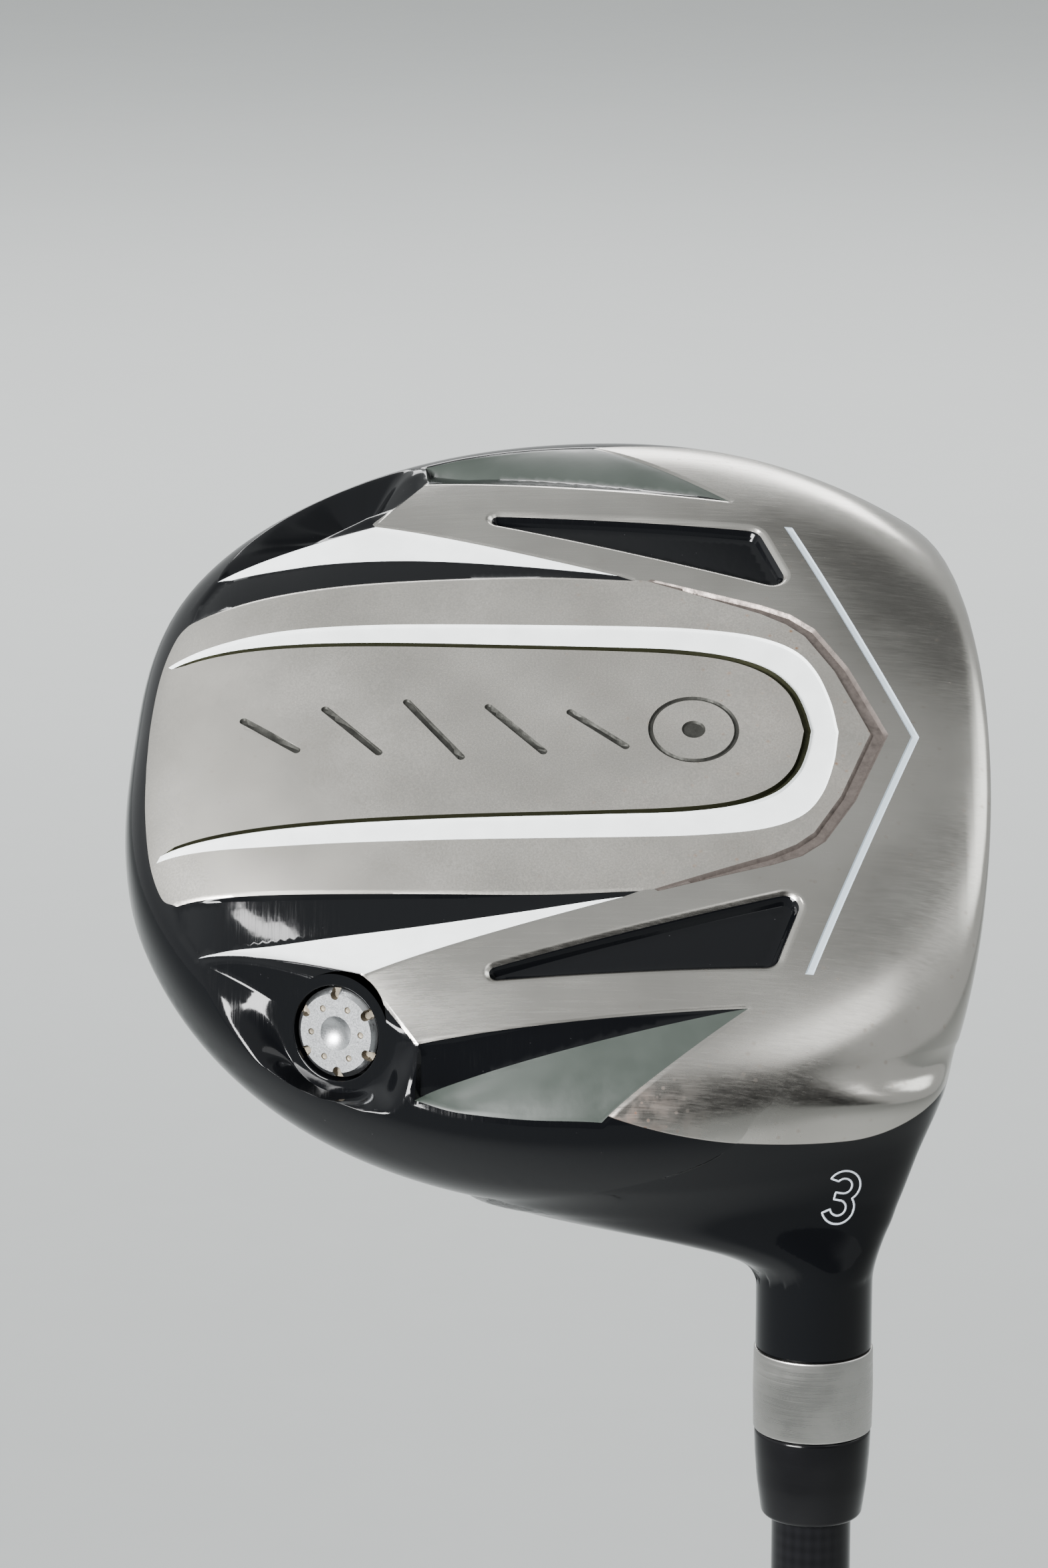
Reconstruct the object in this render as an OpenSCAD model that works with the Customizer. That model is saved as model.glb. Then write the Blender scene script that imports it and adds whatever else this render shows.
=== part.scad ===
// Right-handed fairway wood, number 3, standing on its butt end with the head up.
// The shaft axis is Z and the butt end is the origin. The face looks along +X, and the sole
// looks up and along -Y. The head is drawn in its address pose, on the ground: x to the toe,
// y to the target, z up, with the face centre at x = 0. at_address() then brings it to the shaft.

/* [Club] */
// Length from the butt end to where the shaft axis meets the ground
club_length = 1092; // [1040:1:1120]
// Angle between the shaft and the ground
lie_angle = 57; // [56:0.5:58]
// Angle that the face leans back
loft_angle = 15; // [14:0.5:17]
// How far heelward of the face centre the shaft axis meets the ground
heel_offset = 31.7; // [31:0.1:32.5]

/* [Head] */
// Height of the crown's highest area above the ground
crown_height = 37.6; // [36:0.1:40]
// Thickness of the cast sole and skirt
sole_wall = 1.5; // [1.4:0.1:2]
// Thickness of the crown
crown_wall = 0.8; // [0.7:0.1:1.2]
// Thickness of the face plate
face_wall = 2.2; // [2:0.1:2.6]
// Radius of the face, heel to toe and top to bottom
face_radius = 254; // [230:1:300]
// Number of grooves across the face
score_lines = 7; // [5:1:8]
// Depth of the painted recesses in the sole
recess_depth = 0.8; // [0.7:0.1:0.9]
// Thickness of the paint that fills a recess
paint = 0.4; // [0.3:0.1:0.5]

/* [Hosel] */
// Outside diameter of the hosel
hosel_d = 12.5; // [12:0.1:13.5]
// Distance from the top of the hosel to the ground along the shaft axis
hosel_top = 44.5; // [43:0.5:46]
// Length of the silver collar
collar_h = 9.1; // [8:0.1:10]
// Length of the black ferrule
ferrule_h = 10; // [8:0.5:14]
// Length of shaft that is glued into the hosel
insertion = 28.5; // [26:0.5:29]

/* [Shaft] */
// Diameter of the parallel tip
tip_d = 8.6; // [8.5:0.1:9]
// Diameter at the butt
butt_d = 15.2; // [14.8:0.1:15.6]
// Wall of the tube
shaft_wall = 1.4; // [1.2:0.1:1.8]
// Length of the parallel tip
tip_length = 100; // [80:5:140]

/* [Grip] */
// Length of the grip
grip_length = 268; // [255:1:275]
// Diameter of the grip just above its cap
grip_butt_d = 27; // [26:0.5:29]
// Diameter of the grip at its mouth
grip_mouth_d = 18.6; // [18:0.2:20]
// Diameter of the cap's flange
cap_d = 31; // [30:0.5:33]
// Diameter of the vent hole in the cap
vent_d = 3; // [2.6:0.1:4]

/* [Weight] */
// Diameter of the weight screw's head
weight_d = 9.6; // [9.2:0.1:10]
// Diameter of its threaded shank
shank_d = 6; // [5:0.5:6.5]
// Length of its threaded shank
shank_h = 7.5; // [6:0.5:8]

/* [Hidden] */

// Outline: radius and height of the head's widest line, every 30 degrees from the toe
outline_centre = [6.5, -28];
radii = [49.5, 54, 58, 61.5, 60.5, 61, 58.5, 56, 51.5, 47, 48.5, 48];
waists = [16.5, 17.5, 18, 18, 17, 16.5, 15.5, 14.5, 14, 13.5, 14, 15];
// Exponents that make the sole flat and the crown round
sole_power = 4;
sole_round = 2.8;
crown_power = 2.4;
crown_round = 1.9;
crown_tilt = 0.09;
// The face: where its plane meets the ground, the height and place of its middle, its edge radius
face_foot = 21.75;
face_mid = [2.3, 20];
face_blend = 3;
lowest_line = -6;
line_pitch = 2.7;
line_length = 36;
line_w = 0.8;
line_depth = 0.4;
turn_step = 6;
joint_rise = 108;
sole_rises = [2, 7, 15, 26, 38, 50, 62, 73, 82, 90, 99, joint_rise];
crown_rises = [175, 167, 157, 147, 137, 127, 117, joint_rise];

// Sizes and fits about the shaft axis
hosel_r = hosel_d / 2;
tip_r = tip_d / 2;
bore_r = tip_r + 0.15;
ferrule_r = tip_r + 0.05;
hosel_z = club_length - hosel_top;
tip_z = hosel_z + insertion;
plug_h = 1.5;
collar_z = hosel_z - collar_h;
ferrule_z = collar_z - ferrule_h;
collar_swell = 0.15;
ferrule_end_r = 5.35;

// Neck: an ellipse buried in the head, joined to the hosel's straight end
neck_top = 35;
neck_root = 13;
neck_half = [13.2, 9.5];
neck_shift = 4.5;
// Shoulder behind the neck: heights above the ground point along the shaft, and how far back
shoulder = [[25, 33], [30.7, 24], [33, 12.5], [neck_top, 6.25]];
shoulder_r = 4;
shoulder_shift = 2;
core_half = [10.6, 7];
core_top = 26;

// Shaft and grip
cap_h = 4;
tape = 0.25;
butt_r = butt_d / 2;
taper_start = 250;

// Weight screw: centre of its outer face at address, and the way its axis points
weight_at = [-38, -51, 7];
weight_tilt = [0, 122, 213];
weight_h = 2.6;
washer_h = 0.6;
port_r = 6.4;
port_h = 13;
seat_r = weight_d / 2 + 0.3;
shank_gap = 0.05;
port_floor = 1.5;
notches = 6;
notch_w = 1;
notch_depth = 0.8;
chamfer = 0.6;
dimple_r = 3.2;
dimple_depth = 0.6;
dot_d = 0.7;
dot_ring = 0.62 * weight_d / 2;

// Places on the sole, for the toe side: [toe, target] from the face centre
channel_outer = [[15, -69.5], [16.2, -60], [16.4, -48], [16.3, -37], [16, -20], [14.8, -6],
    [12.9, -1.7], [9.4, 1], [4.7, 2.6], [0, 3.4]];
channel_inner = [[13.9, -69], [13.8, -60], [13.5, -48], [13.2, -37], [12.7, -22], [11, -8],
    [9.2, -4], [6.4, -1.6], [3.2, -0.4], [0, 0.5]];
chevron_end = [33.5, -0.5];
chevron_tip = 12.2;
chevron_w = 0.9;
white_flash = [[24.4, -22], [24.2, -22.4], [33.8, -48.2], [27.8, -65.2]];
black_flash = [[23.7, -19], [23.3, -19], [27.3, -65.6], [21, -68.6]];
pocket = [[35.2, -40.1], [35.6, -39.9], [22.8, -1.1], [32.6, -4.7]];
grey_flash = [[38.4, -7.3], [38.1, -7.7], [49.8, -23], [46.8, -42]];
scoop = [[38, -7.8], [37.8, -8.2], [46.6, -42], [41.8, -42.2]];
groove_outer = [[23.6, -17], [18.7, -2], [16, 2.2], [10, 4.8], [0, 8.8]];
groove_inner = [[23.2, -17.4], [17.6, -3], [14.8, 0.4], [9.4, 3.4], [0, 7]];

// Catmull-Rom curve through four values
function curve(a, b, c, d, f) =
    b + 0.5 * f * (c - a + f * (2*a - 5*b + 4*c - d + f * (3*(b - c) + d - a)));

// Value of a list of twelve at any turn about the head
function around(list, turn) =
    let (step = ((turn + 360) % 360) / 30, i = floor(step))
    curve(list[(i + 11) % 12], list[i % 12], list[(i + 1) % 12], list[(i + 2) % 12], step - i);

// Smaller of two values, with a rounded changeover
function soft_min(a, b, r) =
    let (h = min(1, max(0, 0.5 + 0.5 * (b - a) / r)))
    b + (a - b) * h - r * h * (1 - h);

// Where the face lies, towards the target, at a place across and up it
function face_y(x, z) = face_foot - z * tan(loft_angle)
    - (pow(x - face_mid.x, 2) + pow(z - face_mid.y, 2)) / (2 * face_radius);

// Point on the head's skin. turn goes round from the toe, and rise goes from the middle of the
// sole (0) over the widest line (90) to the middle of the crown (180). wall is how far inside.
function skin(turn, rise, wall) =
    let (power = rise <= 90 ? sole_power : crown_power,
        reach = (around(radii, turn) - wall) * pow(sin(rise), 2 / power),
        x = outline_centre.x + reach * cos(turn),
        y = outline_centre.y + reach * sin(turn),
        waist = around(waists, turn),
        top = crown_height + crown_tilt * (y - outline_centre.y) - wall,
        z = rise <= 90 ? waist - (waist - wall) * pow(cos(rise), 2 / sole_round)
            : waist + (top - waist) * pow(-cos(rise), 2 / crown_round))
    [x, soft_min(y, face_y(x, z) - wall, face_blend), z];

// Height of the sole's skin above a place on the ground
function sole_height(p) =
    let (d = p - outline_centre, turn = atan2(d.y, d.x),
        side = pow(min(1, norm(d) / around(radii, turn)), sole_power))
    around(waists, turn) * (1 - pow(1 - side, 1 / sole_round));

// The same places on the heel side, in the order that keeps the left rail on the left
function on_side(side, places) = [for (p = places) [side * p.x, p.y]];

// Points that divide a straight line into equal steps
function divided(a, b, steps) = [for (i = [0:steps]) a + (b - a) * i / steps];

// Brings the head from its address pose to the shaft
module at_address() {
    translate([0, 0, club_length]) rotate([270 - lie_angle, 0, 0])
        rotate([0, 0, -90]) translate([heel_offset, 0, 0]) children();
}

// Local z out of the face, x to the toe, from the middle of the face
module at_face() {
    translate([0, face_y(0, face_mid.y), face_mid.y]) rotate([loft_angle - 90, 0, 0]) children();
}

// Local z out of the weight port, from the middle of the screw's outer face
module at_weight() {
    translate(weight_at) rotate(weight_tilt) children();
}

// Round hole through the skirt that the weight port fills
module port_hole() {
    at_weight() translate([0, 0, -port_h]) cylinder(r = port_r, h = port_h + 8, $fn = 96);
}

// Closed shell from a pole to a rim: the outer skin, the rim and the inner skin
module skin_shell(pole, rises, wall, up) {
    turns = [0 : turn_step : 359];
    n = 360 / turn_step;
    last = len(rises) - 1;
    rings = concat([for (r = rises) [r, 0]], [for (i = [last : -1 : 0]) [rises[i], wall]]);
    points = concat([skin(0, pole, 0)],
        [for (ring = rings) each [for (turn = turns) skin(turn, ring[0], ring[1])]],
        [skin(0, pole, wall)]);
    end = len(points) - 1;
    faces = concat(
        [for (s = [0 : n - 1]) [0, 1 + s, 1 + (s + 1) % n]],
        [for (r = [0 : len(rings) - 2], s = [0 : n - 1])
            let (a = 1 + r * n + s, d = 1 + r * n + (s + 1) % n)
            each [[a, a + n, d + n], [a, d + n, d]]],
        [for (s = [0 : n - 1]) [end, end - n + (s + 1) % n, end - n + s]]);
    polyhedron(points, up ? [for (f = faces) [f[2], f[1], f[0]]] : faces);
}

// Solid that follows the sole between two rails, from height a to height b above the skin.
// Seen from above, the left rail is on the left of the way the rails run.
module sole_patch(left, right, across, a, b) {
    n = len(left) - 1;
    m = across;
    function place(i, j, h) =
        let (p = left[i] + (right[i] - left[i]) * j / m)
        [p.x, p.y, sole_height(p) + h];
    points = [for (h = [a, b], i = [0 : n], j = [0 : m]) place(i, j, h)];
    up = (n + 1) * (m + 1);
    function at(i, j) = i * (m + 1) + j;
    cells = [for (i = [0 : n - 1], j = [0 : m - 1])
        [at(i, j), at(i + 1, j), at(i + 1, j + 1), at(i, j + 1)]];
    edges = concat([for (i = [0 : n - 1]) [at(i, 0), at(i + 1, 0)]],
        [for (j = [0 : m - 1]) [at(n, j), at(n, j + 1)]],
        [for (i = [n : -1 : 1]) [at(i, m), at(i - 1, m)]],
        [for (j = [m : -1 : 1]) [at(0, j), at(0, j - 1)]]);
    polyhedron(points, concat(
        [for (c = cells) each [[c[0], c[3], c[2]], [c[0], c[2], c[1]]]],
        [for (c = cells) each [[c[0] + up, c[1] + up, c[2] + up], [c[0] + up, c[2] + up, c[3] + up]]],
        [for (e = edges) each [[e[0], e[1], e[1] + up], [e[0], e[1] + up, e[0] + up]]]));
}

// Four-cornered patch: places holds the starts of the left and right rail, and then their ends
module quad_patch(places, side, across, a, b) {
    p = on_side(side, places);
    one = divided(p[0], p[2], 6);
    two = divided(p[1], p[3], 6);
    if (side > 0) sole_patch(one, two, across, a, b);
    else sole_patch(two, one, across, a, b);
}

// Rails across the whole sole, from the heel end to the toe end
function both_sides(rail) =
    concat(on_side(-1, rail), [for (i = [len(rail) - 2 : -1 : 0]) rail[i]]);

module channel(a, b) {
    sole_patch(both_sides(channel_outer), both_sides(channel_inner), 1, a, b);
}

module groove(a, b) {
    sole_patch(both_sides(groove_outer), both_sides(groove_inner), 1, a, b);
}

module chevron(a, b) {
    line = [chevron_end, chevron_end / 2 + [0, chevron_tip / 2], [0, chevron_tip]];
    back = [for (p = line) p - [0, chevron_w]];
    sole_patch(both_sides(line), both_sides(back), 1, a, b);
}

// Every painted recess on one side of the sole
module side_patches(side, a, b) {
    quad_patch(white_flash, side, 4, a, b);
    quad_patch(black_flash, side, 2, a, b);
    quad_patch(pocket, side, 3, a, b);
    quad_patch(grey_flash, side, 4, a, b);
    quad_patch(scoop, side, 2, a, b);
}

// Slice of the shoulder: the hosel's circle joined to a smaller one behind it
module shoulder_slice(row) {
    translate([0, 0, club_length - row[0]]) {
        cylinder(r = hosel_r - 0.1, h = 0.2, $fn = 32);
        translate([shoulder_r - row[1], shoulder_shift, 0]) cylinder(r = shoulder_r, h = 0.2, $fn = 32);
    }
}

// Flare from the hosel into the head, about the shaft axis, and the shoulder behind it
module neck() {
    hull() {
        translate([0, 0, club_length - neck_top]) cylinder(r = hosel_r, h = 0.5, $fn = 48);
        translate([0, neck_shift, club_length - neck_root])
            scale([neck_half.x / neck_half.y, 1, 1]) cylinder(r = neck_half.y, h = 0.5, $fn = 48);
    }
    for (i = [0 : len(shoulder) - 2]) hull() {
        shoulder_slice(shoulder[i]);
        shoulder_slice(shoulder[i + 1]);
    }
}

// Hollow in the neck, around the boss that holds the shaft
module neck_core() {
    difference() {
        hull() {
            translate([0, 0, club_length - core_top]) cylinder(r = hosel_r, h = 0.5, $fn = 48);
            translate([0, neck_shift, club_length - neck_root])
                scale([core_half.x / core_half.y, 1, 1]) cylinder(r = core_half.y, h = 1, $fn = 48);
        }
        cylinder(r = hosel_r, h = club_length, $fn = 96);
    }
}

// Outline of the face plate, as a prism through the front wall
module face_prism() {
    translate([0, 0, -5]) linear_extrude(17) hull() {
        translate([27, 6]) circle(7, $fn = 48);
        translate([27, -4]) circle(6, $fn = 48);
        translate([-18, -1]) circle(5, $fn = 48);
        translate([-20, 7]) circle(5, $fn = 48);
    }
}

// Cast stainless steel sole, skirt and hosel
module head_body() {
    color("silver") difference() {
        union() {
            at_address() skin_shell(0, sole_rises, sole_wall, false);
            neck();
            translate([0, 0, hosel_z]) cylinder(r = hosel_r, h = hosel_top - neck_top + 1, $fn = 96);
        }
        translate([0, 0, hosel_z - 1])
            cylinder(r = bore_r, h = insertion + plug_h + 1, $fn = 96);
        neck_core();
        at_address() {
            at_face() face_prism();
            port_hole();
            channel(-1, recess_depth);
            groove(-1, recess_depth);
            chevron(-1, paint);
            for (side = [-1, 1]) side_patches(side, -1, recess_depth);
        }
    }
}

// Steel crown, welded to the skirt's rim
module crown() {
    color("#16171a") difference() {
        at_address() skin_shell(180, crown_rises, crown_wall, true);
        at_address() at_face() face_prism();
        neck();
    }
}

// Curved face insert with its grooves
module face_plate() {
    color("gainsboro") at_address() at_face() translate([face_mid.x, 0, -face_radius]) {
        difference() {
            intersection() {
                translate([-face_mid.x, 0, face_radius]) face_prism();
                difference() {
                    sphere(r = face_radius, $fn = 240);
                    sphere(r = face_radius - face_wall, $fn = 240);
                }
            }
            intersection() {
                for (i = [0 : score_lines - 1]) translate([0, lowest_line + line_pitch * i, face_radius])
                    cube([line_length, line_w, 12], center = true);
                difference() {
                    sphere(r = face_radius + 2, $fn = 240);
                    sphere(r = face_radius - line_depth, $fn = 240);
                }
            }
        }
    }
}

// Threaded port for the weight screw, welded into the skirt
module weight_port() {
    color("#1b1c1f") at_address() at_weight() difference() {
        translate([0, 0, -port_h]) cylinder(r = port_r, h = port_h, $fn = 96);
        translate([0, 0, -weight_h - washer_h]) cylinder(r = seat_r, h = port_h, $fn = 96);
        translate([0, 0, port_floor - port_h])
            cylinder(r = shank_d / 2 + shank_gap, h = port_h, $fn = 96);
    }
}

// Aluminium weight screw with spanner notches, dots and a dimple
module weight_screw() {
    r = weight_d / 2;
    color("#c9ccce") at_address() at_weight() difference() {
        union() {
            rotate_extrude($fn = 96)
                polygon([[0, -weight_h], [r, -weight_h], [r, -chamfer], [r - chamfer, 0], [0, 0]]);
            translate([0, 0, -weight_h - shank_h])
                cylinder(d = shank_d, h = shank_h + 0.5, $fn = 96);
        }
        translate([0, 0, dimple_r - dimple_depth]) sphere(r = dimple_r, $fn = 96);
        for (i = [0 : notches - 1]) rotate([0, 0, i * 360 / notches]) {
            translate([r, 0, 0]) cube([2.4, notch_w, 2 * notch_depth], center = true);
            rotate([0, 0, 180 / notches]) translate([dot_ring, 0, -0.15])
                cylinder(d = dot_d, h = 1, $fn = 24);
        }
    }
}

// Sealing washer under the screw's head
module weight_washer() {
    color("#2a2a2a") at_address() at_weight() translate([0, 0, -weight_h - washer_h + 0.02])
        difference() {
            cylinder(r = weight_d / 2 - 0.3, h = washer_h - 0.04, $fn = 96);
            translate([0, 0, -1]) cylinder(r = shank_d / 2 + 0.1, h = washer_h + 2, $fn = 96);
        }
}

// Foam plug at the bottom of the hosel bore
module hosel_plug() {
    color("orange") translate([0, 0, tip_z]) cylinder(r = bore_r, h = plug_h, $fn = 96);
}

// Epoxy between the shaft tip and the bore
module tip_epoxy() {
    color("khaki") translate([0, 0, hosel_z]) difference() {
        cylinder(r = bore_r, h = insertion, $fn = 96);
        translate([0, 0, -1]) cylinder(r = tip_r, h = insertion + 2, $fn = 96);
    }
}

// Blob of hot-melt glue inside the sole, which catches loose dirt
module rattle_glue() {
    color("ivory") at_address() translate([8, -32, sole_wall + 0.1]) intersection() {
        translate([-12, -12, 0]) cube([24, 24, 5]);
        translate([0, 0, -14]) sphere(r = 18, $fn = 96);
    }
}

// Silver collar between hosel and ferrule
module hosel_collar() {
    r = hosel_r + 0.05;
    color("lightgray") translate([0, 0, collar_z]) rotate_extrude($fn = 96)
        polygon([[ferrule_r, 0], [r, 0], [r + collar_swell, collar_h * 0.35],
            [r + collar_swell, collar_h * 0.65], [r, collar_h], [ferrule_r, collar_h]]);
}

// Black tapered ferrule
module ferrule() {
    color("#1a1a1c") translate([0, 0, ferrule_z]) rotate_extrude($fn = 96)
        polygon([[ferrule_r, 0.4], [ferrule_end_r - 0.6, 0], [ferrule_end_r, 0.6],
            [5.9, 4], [hosel_r, ferrule_h], [ferrule_r, ferrule_h]]);
}

// Tapered graphite shaft
module shaft() {
    inner = tip_r - shaft_wall;
    color("#202225") rotate_extrude($fn = 96)
        polygon([[butt_r, cap_h], [butt_r, taper_start], [tip_r, tip_z - tip_length],
            [tip_r, tip_z], [inner, tip_z], [inner, tip_z - tip_length],
            [butt_r - shaft_wall, taper_start], [butt_r - shaft_wall, cap_h]]);
}

// Double-sided tape under the grip
module grip_tape() {
    color("beige") translate([0, 0, cap_h]) difference() {
        cylinder(r = butt_r + tape, h = taper_start - cap_h, $fn = 96);
        translate([0, 0, -1]) cylinder(r = butt_r, h = taper_start, $fn = 96);
    }
}

// Rubber grip
module grip() {
    r = butt_r + tape;
    color("#242424") rotate_extrude($fn = 96)
        polygon([[r, cap_h], [grip_butt_d / 2, cap_h], [grip_butt_d / 2, 12],
            [grip_butt_d / 2 - 1.6, 90], [grip_butt_d / 2 - 3, 190],
            [grip_mouth_d / 2 + 0.2, grip_length - 6], [grip_mouth_d / 2, grip_length],
            [r, grip_length]]);
}

// Moulded cap that closes the grip, with its vent hole
module grip_cap() {
    color("#1d1d1d") difference() {
        rotate_extrude($fn = 96) polygon([[0, 0], [cap_d / 2 - 1.5, 0], [cap_d / 2, 1.4],
            [cap_d / 2, 2.6], [grip_butt_d / 2, cap_h], [0, cap_h]]);
        translate([0, 0, -1]) cylinder(d = vent_d, h = cap_h + 2, $fn = 48);
    }
}

module channel_enamel() {
    color("white") at_address() channel(recess_depth - paint, recess_depth);
}

module chevron_enamel() {
    color("lightsteelblue") at_address() chevron(0.1, paint);
}

// Paint in one four-cornered recess
module flash_paint(places, side, across) {
    at_address() quad_patch(places, side, across, recess_depth - paint, recess_depth);
}

module toe_white_enamel() { color("white") flash_paint(white_flash, 1, 4); }
module heel_white_enamel() {
    color("white") difference() {
        flash_paint(white_flash, -1, 4);
        at_address() port_hole();
    }
}
module toe_black_enamel() { color("#101113") flash_paint(black_flash, 1, 2); }
module heel_black_enamel() { color("#101113") flash_paint(black_flash, -1, 2); }
module toe_pocket_enamel() { color("#101113") flash_paint(pocket, 1, 3); }
module heel_pocket_enamel() { color("#101113") flash_paint(pocket, -1, 3); }
module toe_scoop_enamel() { color("#101113") flash_paint(scoop, 1, 2); }
module heel_scoop_enamel() { color("#101113") flash_paint(scoop, -1, 2); }
module toe_grey_enamel() { color("#737d76") flash_paint(grey_flash, 1, 4); }
module heel_grey_enamel() { color("#737d76") flash_paint(grey_flash, -1, 4); }

// The numeral 3, drawn as two open rings
module numeral_shape() {
    for (y = [-1.25, 1.25]) translate([0, y]) difference() {
        circle(1.75, $fn = 48);
        circle(0.8, $fn = 48);
        translate([-3, y > 0 ? -2.5 : -0.3]) square([2.8, 2.8]);
    }
}

// Painted outline of the numeral on the neck, facing the sole side
module numeral_enamel() {
    color("gainsboro") intersection() {
        translate([2.5, -4, club_length - 26.5]) rotate([90, 0, 0]) rotate([0, 0, -15])
            linear_extrude(6) difference() {
                numeral_shape();
                offset(delta = -0.22) numeral_shape();
            }
        difference() {
            translate([0, -0.12, 0]) neck();
            neck();
        }
    }
}

head_body();
crown();
face_plate();
weight_port();
weight_screw();
weight_washer();
hosel_plug();
tip_epoxy();
rattle_glue();
hosel_collar();
ferrule();
shaft();
grip_tape();
grip();
grip_cap();
channel_enamel();
chevron_enamel();
toe_white_enamel();
heel_white_enamel();
toe_black_enamel();
heel_black_enamel();
toe_pocket_enamel();
heel_pocket_enamel();
toe_scoop_enamel();
heel_scoop_enamel();
toe_grey_enamel();
heel_grey_enamel();
numeral_enamel();
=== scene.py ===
"""Looks of a right-handed fairway wood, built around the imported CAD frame.

Shapes of the head are worked out in its address pose, in millimetres: x to the toe, y to the
target and z up, with the face centre at x = 0. to_row() brings them to the frame, in metres.
"""

import math

import bpy
import numpy as np
from mathutils import Euler, Matrix, Vector
from mathutils.bvhtree import BVHTree
from mathutils.geometry import delaunay_2d_cdt
from mathutils.kdtree import KDTree


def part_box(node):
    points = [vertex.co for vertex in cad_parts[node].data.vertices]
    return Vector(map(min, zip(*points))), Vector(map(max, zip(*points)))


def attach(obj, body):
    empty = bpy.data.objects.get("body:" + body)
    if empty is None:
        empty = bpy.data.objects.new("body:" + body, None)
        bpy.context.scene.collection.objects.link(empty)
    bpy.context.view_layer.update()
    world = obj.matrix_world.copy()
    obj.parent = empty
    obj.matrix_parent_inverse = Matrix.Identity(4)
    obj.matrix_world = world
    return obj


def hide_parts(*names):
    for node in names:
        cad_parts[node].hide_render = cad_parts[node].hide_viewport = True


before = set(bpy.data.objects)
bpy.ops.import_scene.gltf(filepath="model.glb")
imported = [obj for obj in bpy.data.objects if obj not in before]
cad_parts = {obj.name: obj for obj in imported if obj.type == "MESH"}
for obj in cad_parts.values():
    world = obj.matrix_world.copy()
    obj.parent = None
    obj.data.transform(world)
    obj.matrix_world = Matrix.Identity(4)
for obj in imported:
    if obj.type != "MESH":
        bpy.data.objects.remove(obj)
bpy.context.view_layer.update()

# ---------------------------------------------------------------- sizes, in mm and degrees
MM = 0.001
CLUB_LENGTH = 1092
LIE = math.radians(57)
LOFT = math.radians(15)
HEEL_OFFSET = 31.7
CROWN_HEIGHT = 37.6
HOSEL_R = 6.25

# The head's skin: radius and height of its widest line, every 30 degrees from the toe
CENTRE = np.array([6.5, -28.0])
RADII = np.array([49.5, 54, 58, 61.5, 60.5, 61, 58.5, 56, 51.5, 47, 48.5, 48])
WAISTS = np.array([16.5, 17.5, 18, 18, 17, 16.5, 15.5, 14.5, 14, 13.5, 14, 15])
SOLE_POWER = 4
SOLE_ROUND = 2.8
CROWN_POWER = 2.4
CROWN_ROUND = 1.9
CROWN_TILT = 0.09
FACE_FOOT = 21.75
FACE_MID = (2.3, 20)
FACE_RADIUS = 254
FACE_BLEND = 3
JOINT_RISE = 108

# The weight screw: middle of its outer face, and its axis
WEIGHT_AT = np.array([-38.0, -51, 7])
WEIGHT_AXIS = np.array([-0.7112, -0.4619, -0.5299])
PORT_R = 6.4
SCREW_R = 4.8

# Outlines on the sole's toe side, as places on the ground; the heel side mirrors them
TONGUE_EDGE = [(23.5, -18.8), (24, -28), (23.9, -37), (23.3, -50), (22.3, -60), (20.9, -68.6)]
TONGUE_REAR = [(20.9, -68.6), (19, -70.3), (14, -71.8), (7, -72.6), (0, -72.8)]
FLASH_TIP = (24.3, -20.5)
FLASH_CORNER = (33.6, -48)
FLASH_REAR = (27.6, -66)
FLASH_FOLD = [FLASH_TIP, (26.4, -33), (27.9, -45), (28.4, -57), FLASH_REAR]
VALLEY_REAR = (24, -68)
ARM_END = (41.9, -42.2)
SCOOP_TIP = (38, -7.5)
SCOOP_REAR = (46.8, -42.6)
GREY_BEND = (44.5, -15.8)
GREY_OUTER = [(49.8, -23), (49.4, -31), (48.3, -38)]
FACET_BEND = (44.6, -42.6)
FACET_RIM = [(47.2, -44), (46.5, -47.2), (45, -50.4), (43.4, -53.4), (41.1, -56.7),
             (38.2, -60), (33.9, -63.4), (30.4, -65.2)]
POCKET = [(35.4, -40.6), (22.6, -0.8), (32.8, -4.4)]
POCKET_ROUND = [0.8, 1.5, 1.7]
CHANNEL_OUTER = [(14.6, -71), (15.5, -65), (16.2, -58), (16.4, -48), (16.3, -37), (16, -20),
                 (15.6, -12), (14.6, -5.5), (12.6, -1.2), (9.4, 1.2), (4.7, 2.7), (0, 3.4)]
CHANNEL_INNER = [(14, -70.6), (14, -62), (13.6, -48), (13.2, -37), (12.7, -22), (12.3, -14),
                 (11.2, -8), (9.3, -3.9), (6.4, -1.4), (3.2, -0.2), (0, 0.4)]
LINE_INNER = [(13.6, -69), (13.4, -60), (13, -48), (12.6, -37), (12.1, -22), (11.6, -14),
              (10.6, -8.4), (8.7, -4.5), (6, -2.1), (3, -1), (0, -0.4)]
GROOVE_OUTER = [(23.6, -16.8), (19.6, -4.4), (18.2, -1.2), (16, 1.4), (10, 4.9), (0, 8.9)]
GROOVE_INNER = [(23.3, -17.2), (18.2, -4.6), (16.6, -1.8), (14.8, 0.2), (9.4, 3.3), (0, 6.9)]
CHEVRON = [(33.5, -0.5), (0, 12.3)]
CHEVRON_W = 0.9
STEEL_FRONT = [(51.2, -14), (52.4, -4), (51.5, 8), (47, 22)]
STEEL_BEYOND = [(47, 60), (-120, 60), (-120, -23)]

# Generic engraving in the tongue: slanted bars, a ring and its dot
BARS = [(2.6, -56), (3.4, -47), (4.2, -38), (3.4, -29), (2.6, -20)]
BAR_RISE, BAR_W = 6, 0.9
RING_AT, RING_R, RING_W = (0, -12.5), 5, 0.55
DOT_R = 1.3

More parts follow.
